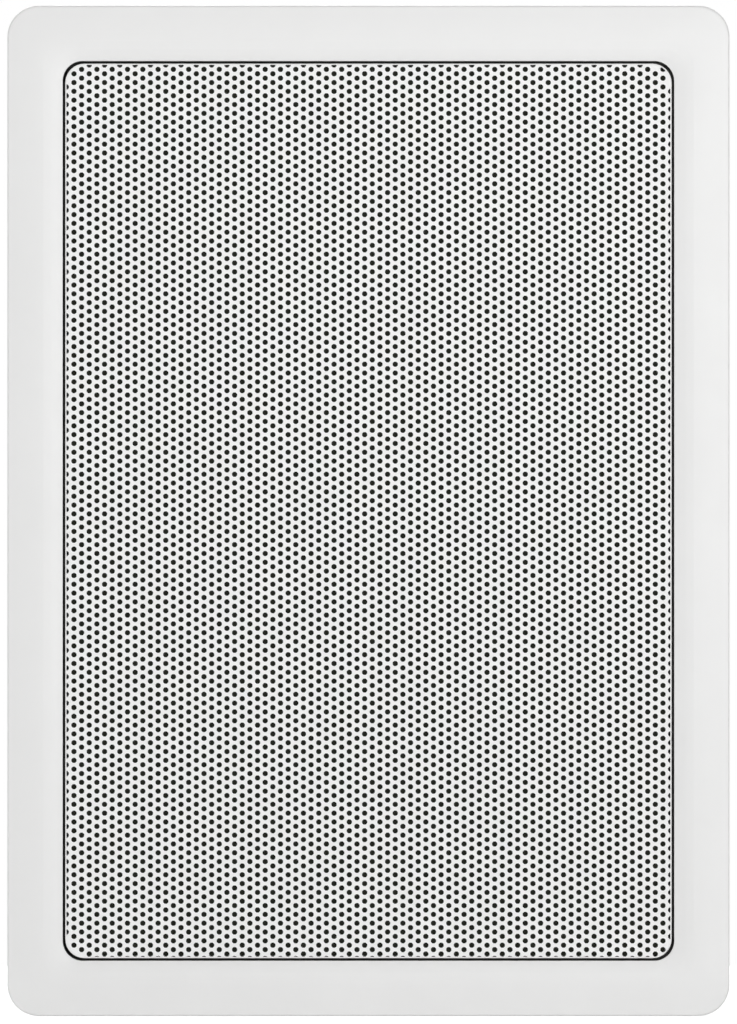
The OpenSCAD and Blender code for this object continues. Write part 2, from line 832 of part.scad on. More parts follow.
module woofer_spider() {
    flat_in = neck_r + 3;
    flat_out = spider_ledge_in - basket_t - 0.4;
    waves = 4.5;
    steps = 27;
    mid_y = spider_ledge_y - spider_t;
    radii = [for (k = [0 : steps]) flat_in + (flat_out - flat_in) * k / steps];
    heights = [for (k = [0 : steps]) mid_y + spider_wave * sin(360 * waves * k / steps)];
    color([0.72, 0.58, 0.30])
        turned(0, woofer_z)
            polygon(concat(
                [[neck_r, mid_y]],
                [for (k = [0 : steps]) [radii[k], heights[k]]],
                [[spider_r, mid_y], [spider_r, mid_y + spider_t]],
                [for (k = [steps : -1 : 0]) [radii[k], heights[k] + spider_t]],
                [[neck_r, mid_y + spider_t]]
            ));
}

module woofer_front_plate() {
    color(zinc)
        turned(0, woofer_z) ring_profile(plate_hole_r, plate_d / 2, magnet_y, magnet_y + plate_t);
}

module woofer_magnet() {
    color(ferrite)
        turned(0, woofer_z)
            ring_profile(magnet_hole_d / 2, magnet_d / 2, magnet_y + plate_t, back_plate_y);
}

module woofer_back_plate() {
    color(zinc)
        turned(0, woofer_z) {
            ring_profile(vent_d / 2, plate_d / 2, back_plate_y, woofer_end);
            ring_profile(vent_d / 2, pole_d / 2, magnet_y, woofer_end);
        }
}

module woofer_screws() {
    color(black_steel)
        round_axis(0, woofer_z, woofer_bolt_d / 2, bolt_angles)
            screw(woofer_head_r, woofer_head_h, woofer_screw_r, woofer_screw_l, basket_y);
}

// Places children in the woofer's own frame, with local X towards the terminal strip
module at_strip() {
    translate([0, 0, woofer_z]) rotate([0, -strip_angle, 0]) children();
}

module woofer_terminal_strip() {
    color([0.35, 0.22, 0.12])
        at_strip()
            block(
                strip_r - strip_t / 2, strip_r + strip_t / 2,
                spider_ledge_back, spider_ledge_back + strip_h, -strip_w / 2, strip_w / 2
            );
}

module woofer_tags() {
    tag_y = spider_ledge_back + strip_h;
    color(brass)
        at_strip()
            for (s = [-1, 1])
                block(
                    strip_r - tag_t / 2, strip_r + tag_t / 2, tag_y, tag_y + tag_l,
                    s * tag_off - tag_w / 2, s * tag_off + tag_w / 2
                );
}

module tinsel_leads() {
    end_r = norm([38, 13]);
    end_y = cone_y(end_r) + cone_t + tinsel_d / 2 + 0.5;
    start_y = spider_ledge_back + strip_h / 2;
    color(copper)
        at_strip()
            for (s = [-1, 1])
                tube([
                    [strip_r, start_y, s * strip_w / 2], [strip_r, start_y, s * (strip_w / 2 + 3)],
                    [strip_r + 8, start_y - 4, s * (strip_w / 2 + 7.5)],
                    [strip_r + 8, spider_ledge_y - 6, s * (strip_w / 2 + 8.5)],
                    [strip_r + 2, spider_ledge_y - 11, s * (strip_w / 2 + 8)],
                    [44, end_y + 2, s * 15], [38, end_y, s * 13]
                ], tinsel_d / 2);
}

module tweeter_faceplate() {
    color(black_rubber)
        difference() {
            turned(0, tweeter_z)
                polygon([
                    [horn_r, faceplate_y], [faceplate_d / 2 - 0.8, faceplate_y], [faceplate_d / 2, faceplate_y + 0.8],
                    [faceplate_d / 2, baffle_y], [tweeter_lip_r + 0.2, baffle_y],
                    [tweeter_lip_r + 0.2, baffle_y - tweeter_lip_t - 0.3],
                    [throat_r, baffle_y - tweeter_lip_t - 0.3]
                ]);
            round_axis(0, tweeter_z, tweeter_bolt_r, tweeter_angles) {
                slab(faceplate_y - over, baffle_y + over) circle(tweeter_screw_r + 0.2);
                rotate([-90, 0, 0]) rotate_extrude() countersink(bond_gap);
            }
        }
}

// The head of a countersunk screw, opened by a clearance
module countersink(gap) {
    polygon([
        [0, faceplate_y - gap], [tweeter_head_r + gap, faceplate_y - gap],
        [tweeter_screw_r + gap, faceplate_y + tweeter_head_r - tweeter_screw_r], [0, faceplate_y + 1.4]
    ]);
}

module tweeter_dome() {
    color(black_cloth)
        translate([0, tweeter_base_y, tweeter_z])
            dome_cap(dome_r, dome_rise, dome_t);
}

module tweeter_surround() {
    roll_start = dome_r + bond_gap;
    mid = roll_start + tweeter_roll_r;
    color(black_rubber)
        turned(0, tweeter_z) {
            ring_profile(mid + tweeter_roll_r - dome_t, tweeter_lip_r, tweeter_base_y, baffle_y);
            intersection() {
                translate([mid, baffle_y])
                    difference() {
                        circle(tweeter_roll_r);
                        circle(tweeter_roll_r - dome_t);
                    }
                ring_profile(roll_start, mid + tweeter_roll_r, baffle_y - tweeter_roll_r, baffle_y);
            }
        }
}

module tweeter_coil() {
    outer = dome_r;
    color(copper)
        turned(0, tweeter_z)
            ring_profile(outer - tweeter_coil_t, outer, tweeter_base_y + bond_gap, tweeter_base_y + tweeter_coil_l);
}

module tweeter_front_plate() {
    color(zinc)
        turned(0, tweeter_z)
            ring_profile(dome_r + tweeter_gap, cup_r, baffle_y, tweeter_plate_back);
}

module tweeter_pole_plate() {
    color(zinc)
        turned(0, tweeter_z)
            ring_profile(0, dome_r - tweeter_coil_t - tweeter_gap, baffle_y, tweeter_plate_back);
}

module tweeter_magnet() {
    color([0.62, 0.62, 0.64])
        turned(0, tweeter_z)
            ring_profile(0, dome_r - tweeter_coil_t - 2 * tweeter_gap, tweeter_plate_back, tweeter_magnet_back);
}

module tweeter_cup() {
    color(zinc)
        turned(0, tweeter_z) {
            ring_profile(cup_r - cup_wall, cup_r, tweeter_plate_back, cup_back);
            ring_profile(0, cup_r, tweeter_magnet_back, cup_back);
        }
}

module tweeter_terminal_strip() {
    strip_back = cup_back + tweeter_strip_t;
    color([0.35, 0.22, 0.12])
        slab(cup_back, strip_back)
            translate([0, tweeter_z]) square(tweeter_strip, center = true);
    color(brass)
        for (s = [-1, 1])
            slab(strip_back, strip_back + 0.6)
                translate([s * tweeter_tag_off, tweeter_z]) circle(2.2);
}

module tweeter_screws() {
    color(black_steel)
        round_axis(0, tweeter_z, tweeter_bolt_r, tweeter_angles)
            difference() {
                rotate([-90, 0, 0])
                    rotate_extrude()
                        polygon([
                            [0, faceplate_y], [tweeter_head_r, faceplate_y],
                            [tweeter_screw_r, faceplate_y + tweeter_head_r - tweeter_screw_r],
                            [tweeter_screw_r, faceplate_y + tweeter_screw_l], [0, faceplate_y + tweeter_screw_l]
                        ]);
                for (a = [0, 90])
                    rotate([0, a, 0])
                        block(-1.4, 1.4, faceplate_y - over, faceplate_y + 0.8, -0.3, 0.3);
            }
}

module crossover_board() {
    color(green_board)
        difference() {
            slab(pcb_y, pcb_back) translate([pcb_x, pcb_z]) square([pcb_w, pcb_h], center = true);
            pcb_corners() slab(pcb_y - over, pcb_back + over) circle(small_screw_r + 0.25);
        }
}

module inductor_bobbin() {
    color([0.15, 0.15, 0.16])
        turned(pcb_x, inductor_z) {
            ring_profile(bobbin_core_r - 2, bobbin_core_r, pcb_back, pcb_back + inductor_h);
            ring_profile(bobbin_core_r - 2, inductor_d / 2, pcb_back, pcb_back + bobbin_flange_t);
            ring_profile(
                bobbin_core_r - 2, inductor_d / 2,
                pcb_back + inductor_h - bobbin_flange_t, pcb_back + inductor_h
            );
        }
}

module inductor_winding() {
    color(copper)
        turned(pcb_x, inductor_z)
            ring_profile(
                bobbin_core_r + bond_gap, inductor_d / 2 - 1,
                pcb_back + bobbin_flange_t + bond_gap, pcb_back + inductor_h - bobbin_flange_t - bond_gap
            );
}

module capacitors() {
    axis_y = pcb_back + capacitor_d / 2 + capacitor_lift;
    half = capacitor_l / 2;
    color([0.80, 0.62, 0.18])
        for (z = capacitor_z)
            translate([pcb_x, axis_y, z]) {
                rotate([0, 90, 0]) cylinder(d = capacitor_d, h = capacitor_l, center = true);
                rotate([0, 90, 0])
                    cylinder(r = capacitor_lead_r, h = capacitor_l + 2 * capacitor_foot, center = true);
                for (s = [-1, 1])
                    translate([s * (half + capacitor_foot - capacitor_lead_r), 0, 0])
                        rotate([90, 0, 0]) cylinder(r = capacitor_lead_r, h = axis_y - pcb_back);
            }
}

module resistor() {
    color([0.88, 0.87, 0.82])
        block(
            pcb_x - resistor_size[0] / 2, pcb_x + resistor_size[0] / 2,
            pcb_back, pcb_back + resistor_size[1],
            resistor_z - resistor_size[2] / 2, resistor_z + resistor_size[2] / 2
        );
}

// A small screw that points forward, with its bearing face at depth y
module small_screw(y, l) {
    translate([0, y, 0]) rotate([0, 0, 180]) screw(small_head_r, small_head_h, small_screw_r, l, 0);
}

module board_screws() {
    color(zinc) pcb_corners() small_screw(pcb_back, pcb_t + standoff_h - 2);
}

module terminal_block() {
    entry_z = block_z - entry_down;
    color([0.10, 0.10, 0.11])
        difference() {
            union() {
                block(
                    block_x - block_w / 2, block_x + block_w / 2, baffle_back, block_back,
                    block_z - block_h / 2, block_z + block_h / 2
                );
                block(
                    block_x - block_w / 2 - block_ear_w, block_x + block_w / 2 + block_ear_w,
                    baffle_back, baffle_back + block_ear_t, block_z - block_h / 4, block_z + block_h / 4
                );
            }
            for (s = [-1, 1]) {
                translate([block_x + s * button_off, 0, block_z + button_up])
                    slab(well_y, block_back + over)
                        square([button_w + 2 * button_gap, button_h + 2 * button_gap], center = true);
                translate([block_x + s * button_off, 0, entry_z])
                    slab(baffle_back - over, block_back + over) circle(entry_d / 2);
                translate([block_x + s * button_off, 0, entry_z])
                    rotate([-90, 0, 0])
                        translate([0, 0, block_back - entry_d / 2])
                            cylinder(r1 = entry_d / 2, r2 = entry_d, h = entry_d / 2);
                block(
                    block_x + s * button_off - contact_w / 2 - contact_room,
                    block_x + s * button_off + contact_w / 2 + contact_room,
                    baffle_back - over, baffle_back + contact_t + contact_room,
                    block_z - contact_low - contact_room, block_z + block_h / 2 + over
                );
            }
            block_holes() slab(baffle_back - over, block_back) circle(small_screw_r + 0.25);
        }
}

module button(side) {
    translate([block_x + side * button_off, 0, block_z + button_up])
        difference() {
            union() {
                slab(button_y, button_end - 1) square([button_w, button_h], center = true);
                slab(button_y, button_end) square([button_w - 1.6, button_h - 1.6], center = true);
            }
            slab(button_y - over, button_end - spring_roof) circle(spring_well_r);
        }
}

module button_red() {
    color([0.75, 0.12, 0.10]) button(1);
}

module button_black() {
    color([0.14, 0.14, 0.15]) button(-1);
}

module button_spring(side) {
    low = well_y + spring_wire_r + bond_gap;
    high = button_end - spring_roof - spring_wire_r - bond_gap;
    turns = spring_turns;
    rings = 12 * turns;
    color(zinc)
        translate([block_x + side * button_off, 0, block_z + button_up])
            tube([
                for (k = [0 : rings])
                    [spring_r * cos(30 * k), low + (high - low) * k / rings, spring_r * sin(30 * k)]
            ], spring_wire_r, 1, 6);
}

module contact_strips() {
    color(brass)
        for (s = [-1, 1])
            block(
                block_x + s * button_off - contact_w / 2, block_x + s * button_off + contact_w / 2,
                baffle_back, baffle_back + contact_t,
                block_z - contact_low, block_z + block_h / 2 + contact_tag
            );
}

module block_screws() {
    color(zinc) block_holes() small_screw(baffle_back + block_ear_t, block_ear_t + baffle_t - 0.8);
}

module input_wires() {
    start_y = baffle_back + contact_t;
    start_z = block_z + block_h / 2 + contact_tag / 2;
    route_y = pcb_back + 6.4;
    routes = [
        [block_x + button_off, pcb_z + 22, pcb_z + 17],
        [block_x - button_off, pcb_z + 28, pcb_z + 24]
    ];
    for (k = [0, 1])
        color(k == 0 ? [0.75, 0.12, 0.10] : [0.13, 0.13, 0.14])
            tube([
                [routes[k][0], start_y, start_z], [routes[k][0], start_y + 5, start_z],
                [routes[k][0] + 4, start_y + 11, start_z + 3], [-cup_r, route_y - 1, routes[k][1]],
                [0, route_y, routes[k][1] + 1], [cup_r - 2, route_y, routes[k][1] - 1],
                [pad_x - 2, route_y - 1, routes[k][2]],
                [pad_x, pcb_back + 2.5, routes[k][2]], [pad_x, pcb_back, routes[k][2]]
            ], wire_d / 2);
}

module woofer_wires() {
    tag_end = spider_ledge_back + strip_h + tag_l;
    // Where each tag's end lies: local X and Z of the strip turned by its angle
    ends = [for (s = [1, -1])
        [strip_r * cos(strip_angle) - s * tag_off * sin(strip_angle),
         woofer_z + strip_r * sin(strip_angle) + s * tag_off * cos(strip_angle)]];
    pads = [pcb_z - 23, pcb_z - 17];
    for (k = [0, 1])
        color(k == 0 ? [0.75, 0.12, 0.10] : [0.13, 0.13, 0.14])
            tube([
                [pad_x, pcb_back, pads[k]], [pad_x, pcb_back + 4, pads[k]],
                [pad_x - 3, pcb_back + 9, pads[k] - 4],
                [pad_x - 3 + 4 * k, pcb_back + 16.4, pcb_z - 45 + 3 * k],
                [pad_x - 2 + 5 * k, pcb_back + 26.4, woofer_z + 66],
                [ends[k][0], tag_end + 5, ends[k][1] + 8],
                [ends[k][0], tag_end + 4, ends[k][1]], [ends[k][0], tag_end, ends[k][1]]
            ], wire_d / 2);
}

module tweeter_wires() {
    tag_end = cup_back + tweeter_strip_t + 0.6;
    starts = [pcb_z - 7, pcb_z - 1];
    for (k = [0, 1])
        color(k == 0 ? [0.75, 0.12, 0.10] : [0.13, 0.13, 0.14])
            tube([
                [pad_x, pcb_back, starts[k]], [pad_x, pcb_back + 3.5, starts[k]],
                [pad_x - 5, pcb_back + 7, starts[k] - 1],
                [tweeter_tag_off + 7 - 8 * k, pcb_back + 8.4, tweeter_z + 4 + 3 * k],
                [tweeter_tag_off - 2 * tweeter_tag_off * k, tag_end + 5, tweeter_z + 1],
                [tweeter_tag_off - 2 * tweeter_tag_off * k, tag_end + 3, tweeter_z],
                [tweeter_tag_off - 2 * tweeter_tag_off * k, tag_end, tweeter_z]
            ], wire_d / 2);
}

module screw_retainers() {
    color(zinc)
        for (corner = CORNERS)
            at_corner(corner)
                rotate([-90, 0, 0])
                    rotate_extrude()
                        ring_profile(clamp_r + shaft_gap, retainer_r, baffle_back, baffle_back + retainer_t);
}

module clamp_screw(corner) {
    color(zinc)
        at_corner(corner)
            screw(clamp_head_r, clamp_head_h, clamp_r, clamp_screw_l, baffle_y - slide_gap);
}

module clamp_nut(corner) {
    color(brass)
        at_corner(corner)
            rotate([-90, 0, 0])
                rotate_extrude() {
                    ring_profile(clamp_r + shaft_gap, nut_r, arm_front, arm_back + slide_gap + nut_flange_t);
                    ring_profile(
                        clamp_r + shaft_gap, nut_flange_r,
                        arm_back + slide_gap, arm_back + slide_gap + nut_flange_t
                    );
                }
}

module clamp_arm(corner) {
    tip = arm_reach - arm_tip_r;
    color([0.20, 0.20, 0.21])
        at_corner(corner)
            difference() {
                union() {
                    slab(arm_front, arm_back) {
                        circle(arm_hub_r);
                        polygon([[-arm_hub_r, 0], [arm_hub_r, 0], [arm_tip_r, -tip], [-arm_tip_r, -tip]]);
                        translate([0, -tip]) circle(arm_tip_r);
                    }
                    slab(foot_y, arm_front + 0.1) {
                        translate([0, -tip]) circle(arm_tip_r);
                        translate([-arm_tip_r, -tip]) square([2 * arm_tip_r, arm_tip_r]);
                    }
                }
                slab(foot_y - over, arm_back + over) circle(nut_r + shaft_gap);
                slab(arm_front + 2, arm_back + over)
                    polygon([[-3, -nut_r - 4], [3, -nut_r - 4], [2.2, -tip], [-2.2, -tip]]);
            }
}

frame();
grille();
grille_cloth();
woofer_basket();
woofer_gasket();
woofer_surround();
woofer_cone();
woofer_dust_cap();
voice_coil_former();
voice_coil_winding();
woofer_spider();
woofer_front_plate();
woofer_magnet();
woofer_back_plate();
woofer_screws();
woofer_terminal_strip();
woofer_tags();
tinsel_leads();
tweeter_faceplate();
tweeter_dome();
tweeter_surround();
tweeter_coil();
tweeter_front_plate();
tweeter_pole_plate();
tweeter_magnet();
tweeter_cup();
tweeter_terminal_strip();
tweeter_screws();
crossover_board();
inductor_bobbin();
inductor_winding();
capacitors();
resistor();
board_screws();
terminal_block();
button_red();
button_black();
button_spring(1);  // button_spring_red
button_spring(-1);  // button_spring_black
contact_strips();
block_screws();
input_wires();
woofer_wires();
tweeter_wires();
screw_retainers();
clamp_screw(UPPER_LEFT);  // clamp_screw_upper_left
clamp_screw(UPPER_RIGHT);  // clamp_screw_upper_right
clamp_screw(LOWER_LEFT);  // clamp_screw_lower_left
clamp_screw(LOWER_RIGHT);  // clamp_screw_lower_right
clamp_nut(UPPER_LEFT);  // clamp_nut_upper_left
clamp_nut(UPPER_RIGHT);  // clamp_nut_upper_right
clamp_nut(LOWER_LEFT);  // clamp_nut_lower_left
clamp_nut(LOWER_RIGHT);  // clamp_nut_lower_right
clamp_arm(UPPER_LEFT);  // clamp_arm_upper_left
clamp_arm(UPPER_RIGHT);  // clamp_arm_upper_right
clamp_arm(LOWER_LEFT);  // clamp_arm_lower_left
clamp_arm(LOWER_RIGHT);  // clamp_arm_lower_right
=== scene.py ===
"""Looks of an in-wall loudspeaker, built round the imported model.

Lengths are in millimetres until they are handed to Blender. X runs to the right, Y to the back, Z up.
"""

import math

import bpy
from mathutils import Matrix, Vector
from mathutils.geometry import delaunay_2d_cdt


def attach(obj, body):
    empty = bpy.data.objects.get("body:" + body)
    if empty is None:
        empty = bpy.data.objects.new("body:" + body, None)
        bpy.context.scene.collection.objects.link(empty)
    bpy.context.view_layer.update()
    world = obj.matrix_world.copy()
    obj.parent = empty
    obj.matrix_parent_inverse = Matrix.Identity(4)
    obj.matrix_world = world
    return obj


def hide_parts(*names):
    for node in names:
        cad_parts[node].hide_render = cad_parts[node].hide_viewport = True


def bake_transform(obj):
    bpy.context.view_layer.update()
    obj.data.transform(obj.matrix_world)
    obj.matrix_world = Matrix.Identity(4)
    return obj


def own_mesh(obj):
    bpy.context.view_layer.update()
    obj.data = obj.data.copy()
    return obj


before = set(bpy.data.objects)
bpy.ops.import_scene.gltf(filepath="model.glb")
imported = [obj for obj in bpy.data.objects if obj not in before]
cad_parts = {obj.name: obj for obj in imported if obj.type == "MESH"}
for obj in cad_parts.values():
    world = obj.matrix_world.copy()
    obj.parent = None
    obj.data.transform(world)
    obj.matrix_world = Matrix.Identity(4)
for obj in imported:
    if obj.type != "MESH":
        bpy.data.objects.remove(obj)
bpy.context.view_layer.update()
MM = 0.001

# The photograph's frame, and the object's outline in it
PHOTO_W = 737
PHOTO_H = 1024
PX_PER_MM = 3.3106
PHOTO_CENTRE = (368.45, 510.9)

# Outer height of the flange
FLANGE_H = 305.0

# The opening in the flange, and the soft fall towards it
OPENING_W = 184.6
OPENING_H = 271.6
OPENING_R = 6.0
FALL_RUN = 5.5
FALL_MORE = 0.25

# How far the painted shade in the pocket reaches past the opening's outline, and its depths
SHADE_EDGE = 0.3
SHADE_FRONT = -3.8
SHADE_BACK = 10.1

# The perforated sheet
GRILLE_W = 183.1
GRILLE_H = 270.1
GRILLE_R = 5.8
GRILLE_T = 0.8
GRILLE_Y = -5.2
SKIRT_Y = 6.5
FOLD_R = 0.4
HOLE_D = 1.6
HOLE_ROW = 2.6575
HOLE_COL = 2.3095
COL_PAIRS = 39
FIRST_ROW = (134.63, 133.30)
HOLE_SIDES = 8
CORNER_HOLE_REACH = 5.3

# The two drivers
WOOFER_Z = -44.0
TWEETER_Z = 78.0


def mesh_object(name, points, faces, smooth=True):
    """A new object from points in millimetres."""
    mesh = bpy.data.meshes.new(name)
    mesh.from_pydata([(x * MM, y * MM, z * MM) for x, y, z in points], [], faces)
    mesh.update()
    mesh.polygons.foreach_set("use_smooth", [smooth] * len(mesh.polygons))
    obj = bpy.data.objects.new(name, mesh)
    bpy.context.scene.collection.objects.link(obj)
    return obj


def smooth_by_angle(obj, degrees=35):
    """Marks the edges sharper than the angle, so that round parts shade round and edges stay crisp."""
    mesh = obj.data
    limit = math.radians(degrees)
    normals = [p.normal.copy() for p in mesh.polygons]
    sides = {}
    for p in mesh.polygons:
        for key in p.edge_keys:
            sides.setdefault(key, []).append(p.index)
    for e in mesh.edges:
        near = sides.get(e.key, [])
        e.use_edge_sharp = len(near) != 2 or normals[near[0]].angle(normals[near[1]], 0.0) > limit
    return obj


def rounded_outline(w, h, r, steps=8):
    """Points of a rounded rectangle, anticlockwise seen from the front, x to the right and z up."""
    out = []
    corners = ((1, 1, 0), (-1, 1, 90), (-1, -1, 180), (1, -1, 270))
    for sx, sz, start in corners:
        for k in range(steps + 1):
            a = math.radians(start + 90 * k / steps)
            out.append((sx * (w / 2 - r) + r * math.cos(a), sz * (h / 2 - r) + r * math.sin(a)))
    return out


def inside_rounded(x, z, w, h, r):
    """True for a point inside a rounded rectangle about the origin."""
    dx = abs(x) - (w / 2 - r)
    dz = abs(z) - (h / 2 - r)
    if dx <= 0 or dz <= 0:
        return abs(x) < w / 2 and abs(z) < h / 2
    return math.hypot(dx, dz) < r


def hole_radius():
    """Corner radius of a polygon that has the area of the round hole."""
    area = math.pi * (HOLE_D / 2) ** 2
    return math.sqrt(2 * area / (HOLE_SIDES * math.sin(2 * math.pi / HOLE_SIDES)))


def hole_centres():
    """Columns are staggered by half a row; the outermost ones run into the fold."""
    centres = []
    for c in range(-COL_PAIRS - 1, COL_PAIRS + 1):
        x = (c + 0.5) * HOLE_COL
        top = FIRST_ROW[(c + COL_PAIRS) % 2]
        rows = int(2 * top / HOLE_ROW) + 2
        centres += [(x, top - HOLE_ROW * k) for k in range(rows)]
    return centres


def corner_cut(x, z):
    """True for a hole that the deep-drawn corner has closed."""
    dx = abs(x) - (GRILLE_W / 2 - GRILLE_R)
    dz = abs(z) - (GRILLE_H / 2 - GRILLE_R)
    return dx > 0 and dz > 0 and math.hypot(dx, dz) > CORNER_HOLE_REACH


def sheet_front():
    """Front of the sheet as triangles, with the rings of the holes and the outline of the flat part."""
    w = GRILLE_W - 2 * FOLD_R
    h = GRILLE_H - 2 * FOLD_R
    r = GRILLE_R - FOLD_R
    big = hole_radius()
    apothem = big * math.cos(math.pi / HOLE_SIDES)
    outline = rounded_outline(w, h, r)
    points = [Vector(p) for p in outline]
    edges = [(k, (k + 1) % len(outline)) for k in range(len(outline))]
    whole = []
    cut = []
    for x, z in hole_centres():
        if corner_cut(x, z):
            continue
        ring = [
            (
                x + big * math.cos(math.radians(22.5 + 45 * k)),
                z + big * math.sin(math.radians(22.5 + 45 * k)),
            )
            for k in range(HOLE_SIDES)
        ]
        inside = [inside_rounded(px, pz, w, h, r) for px, pz in ring]
        if not any(inside):
            continue
        first = len(points)
        points += [Vector(p) for p in ring]
        edges += [(first + k, first + (k + 1) % HOLE_SIDES) for k in range(HOLE_SIDES)]
        (whole if all(inside) else cut).append((x, z))
    verts, _, faces, _, _, _ = delaunay_2d_cdt(points, edges, [], 1, 1e-5)
    lookup = {}
    for x, z in whole + cut:
        lookup.setdefault((round(x / HOLE_COL - 0.5), math.floor(z / HOLE_ROW)), []).append((x, z))

    def in_hole(x, z):
        c = round(x / HOLE_COL - 0.5)
        k = math.floor(z / HOLE_ROW)
        for i in (c - 1, c, c + 1):
            for j in (k - 1, k, k + 1):
                for hx, hz in lookup.get((i, j), ()):
                    dx = abs(x - hx)
                    dz = abs(z - hz)
                    if max(dx, dz, (dx + dz) / math.sqrt(2)) < apothem:
                        return True
        return False

    kept = []
    for f in faces:
        mx = sum(verts[i][0] for i in f) / len(f)
        mz = sum(verts[i][1] for i in f) / len(f)
        if inside_rounded(mx, mz, w, h, r) and not in_hole(mx, mz):
            kept.append(f)
    return verts, kept, whole


def perforated_sheet():
    """The grille: flat front, walls of the holes, rounded fold and skirt, as one mesh."""
    verts, faces, whole = sheet_front()
    w = GRILLE_W - 2 * FOLD_R
    h = GRILLE_H - 2 * FOLD_R
    r = GRILLE_R - FOLD_R
    points = [(v[0], GRILLE_Y, v[1]) for v in verts]
    out = []
    count = {}
    for f in faces:
        (x0, z0), (x1, z1), (x2, z2) = (verts[i] for i in f[:3])
        turn = (x1 - x0) * (z2 - z0) - (x2 - x0) * (z1 - z0)
        f = list(f) if turn > 0 else list(reversed(f))
        out.append(f)
        for a, b in zip(f, f[1:] + f[:1]):
            count[(a, b)] = count.get((a, b), 0) + 1
    rim = [(a, b) for (a, b) in count if (b, a) not in count]
    back_y = GRILLE_Y + GRILLE_T

    def on_outline(i):
        x, z = verts[i]
        return not inside_rounded(x, z, w - 0.004, h - 0.004, r - 0.002)

    # The wall of a whole hole runs back to a square that hides behind its eight sides
    big = hole_radius()
    apothem = big * math.cos(math.pi / HOLE_SIDES)
    cells = {}
    for x, z in whole:
        cells.setdefault((round(x / HOLE_COL - 0.5), math.floor(z / HOLE_ROW)), []).append((x, z))

    def whole_hole(x, z):
        c = round(x / HOLE_COL - 0.5)
        k = math.floor(z / HOLE_ROW)
        for i in (c - 1, c, c + 1):
            for j in (k - 1, k, k + 1):
                for hx, hz in cells.get((i, j), ()):
                    if math.hypot(x - hx, z - hz) < big + 0.02:
                        return hx, hz
        return None

    rings = {}
    loose = []
    for a, b in rim:
        if on_outline(a) and on_outline(b):
            continue
        mid = ((verts[a][0] + verts[b][0]) / 2, (verts[a][1] + verts[b][1]) / 2)
        home = whole_hole(*mid)
        if home is None:
            loose.append((a, b))
        else:
            rings.setdefault(home, []).append((a, b))
    for (hx, hz), edges in rings.items():
        first = len(points)
        for sx, sz in ((1, 1), (-1, 1), (-1, -1), (1, -1)):
            points.append((hx + sx * apothem, back_y, hz + sz * apothem))

        def corner_of(i):
            dx = verts[i][0] - hx
            dz = verts[i][1] - hz
            return first + (0 if dz > 0 else 3) if dx > 0 else first + (1 if dz > 0 else 2)

        for a, b in edges:
            ca = corner_of(a)
            cb = corner_of(b)
            out.append([b, a, ca] if ca == cb else [b, a, ca, cb])
    low = {}

    def below(i):
        if i not in low:
            low[i] = len(points)
            points.append((verts[i][0], back_y, verts[i][1]))
        return low[i]

    for a, b in loose:
        out.append([b, a, below(a), below(b)])

    # The fold: from the outline of the flat part round to the skirt, and back up inside
    loop = rounded_outline(w, h, r)
    profile = [(0.0, GRILLE_Y)]
    profile += [
        (FOLD_R * math.sin(math.radians(a)), GRILLE_Y + FOLD_R * (1 - math.cos(math.radians(a))))
        for a in (22.5, 45, 67.5, 90)
    ]
    profile += [
        (FOLD_R, SKIRT_Y),
        (FOLD_R - GRILLE_T, SKIRT_Y),
        (FOLD_R - GRILLE_T, back_y),
    ]
    rows = []
    for off, y in profile:
        first = len(points)
        points += [
            (x + nx * off, y, z + nz * off)
            for x, z in loop
            for nx, nz in (outline_normal(x, z, w, h, r),)
        ]
        rows.append(list(range(first, first + len(loop))))
    n = len(loop)
    for upper, lower in zip(rows, rows[1:]):
        for k in range(n):
            out.append([upper[k], lower[k], lower[(k + 1) % n], upper[(k + 1) % n]])
    grille = mesh_object("grille_sheet", points, out)
    return smooth_by_angle(grille, 40)


def outline_normal(x, z, w, h, r):
    """Outward direction at a point of a rounded rectangle's outline."""
    dx = abs(x) - (w / 2 - r)
    dz = abs(z) - (h / 2 - r)
    if dx > 0 and dz > 0:
        d = math.hypot(dx, dz)
        return math.copysign(dx / d, x), math.copysign(dz / d, z)
    if w / 2 - abs(x) < h / 2 - abs(z):
        return math.copysign(1.0, x), 0.0
    return 0.0, math.copysign(1.0, z)


def circle_sweep(name, profile, centre_z, start, end, steps):
    """A closed profile of (radius, depth) points, turned from start to end in degrees about centre_z."""
    whole = end - start >= 360
    stations = steps if whole else steps + 1
    points = []
    for i in range(stations):
        a = math.radians(start + (end - start) * i / steps)
        points += [(r * math.cos(a), y, centre_z + r * math.sin(a)) for r, y in profile]
    n = len(profile)
    faces = []
    for i in range(steps):
        here = i * n
        there = ((i + 1) % stations) * n
        for k in range(n):
            j = (k + 1) % n
            faces.append([here + k, there + k, there + j, here + j])
    if not whole:
        faces.append(list(range(n)))
        faces.append(list(range(steps * n + n - 1, steps * n - 1, -1)))
    return mesh_object(name, points, faces)


def sheet_profile(path, thickness):
    """Closed profile of a thin sheet along a path of (radius, depth) points, which is its front."""
    left = []
    right = []
    for k, (r, y) in enumerate(path):
        before = path[max(k - 1, 0)]
        after = path[min(k + 1, len(path) - 1)]
        dr = after[0] - before[0]
        dy = after[1] - before[1]
        length = math.hypot(dr, dy)
        left.append((r, y))
        right.append((r - dy / length * thickness, y + dr / length * thickness))
    return left + right[::-1]


def ring_in_sectors(stem, path, thickness, centre_z, count):
    """A soft ring between a fixed rim and a moving middle, in separate sectors."""
    profile = sheet_profile(path, thickness)
    pieces = []
    for i in range(count):
        start = 360 * i / count
        piece = circle_sweep(f"{stem}_{i + 1:02d}", profile, centre_z, start, start + 360 / count, 6)
        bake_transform(piece)
        pieces.append(piece)
    return pieces


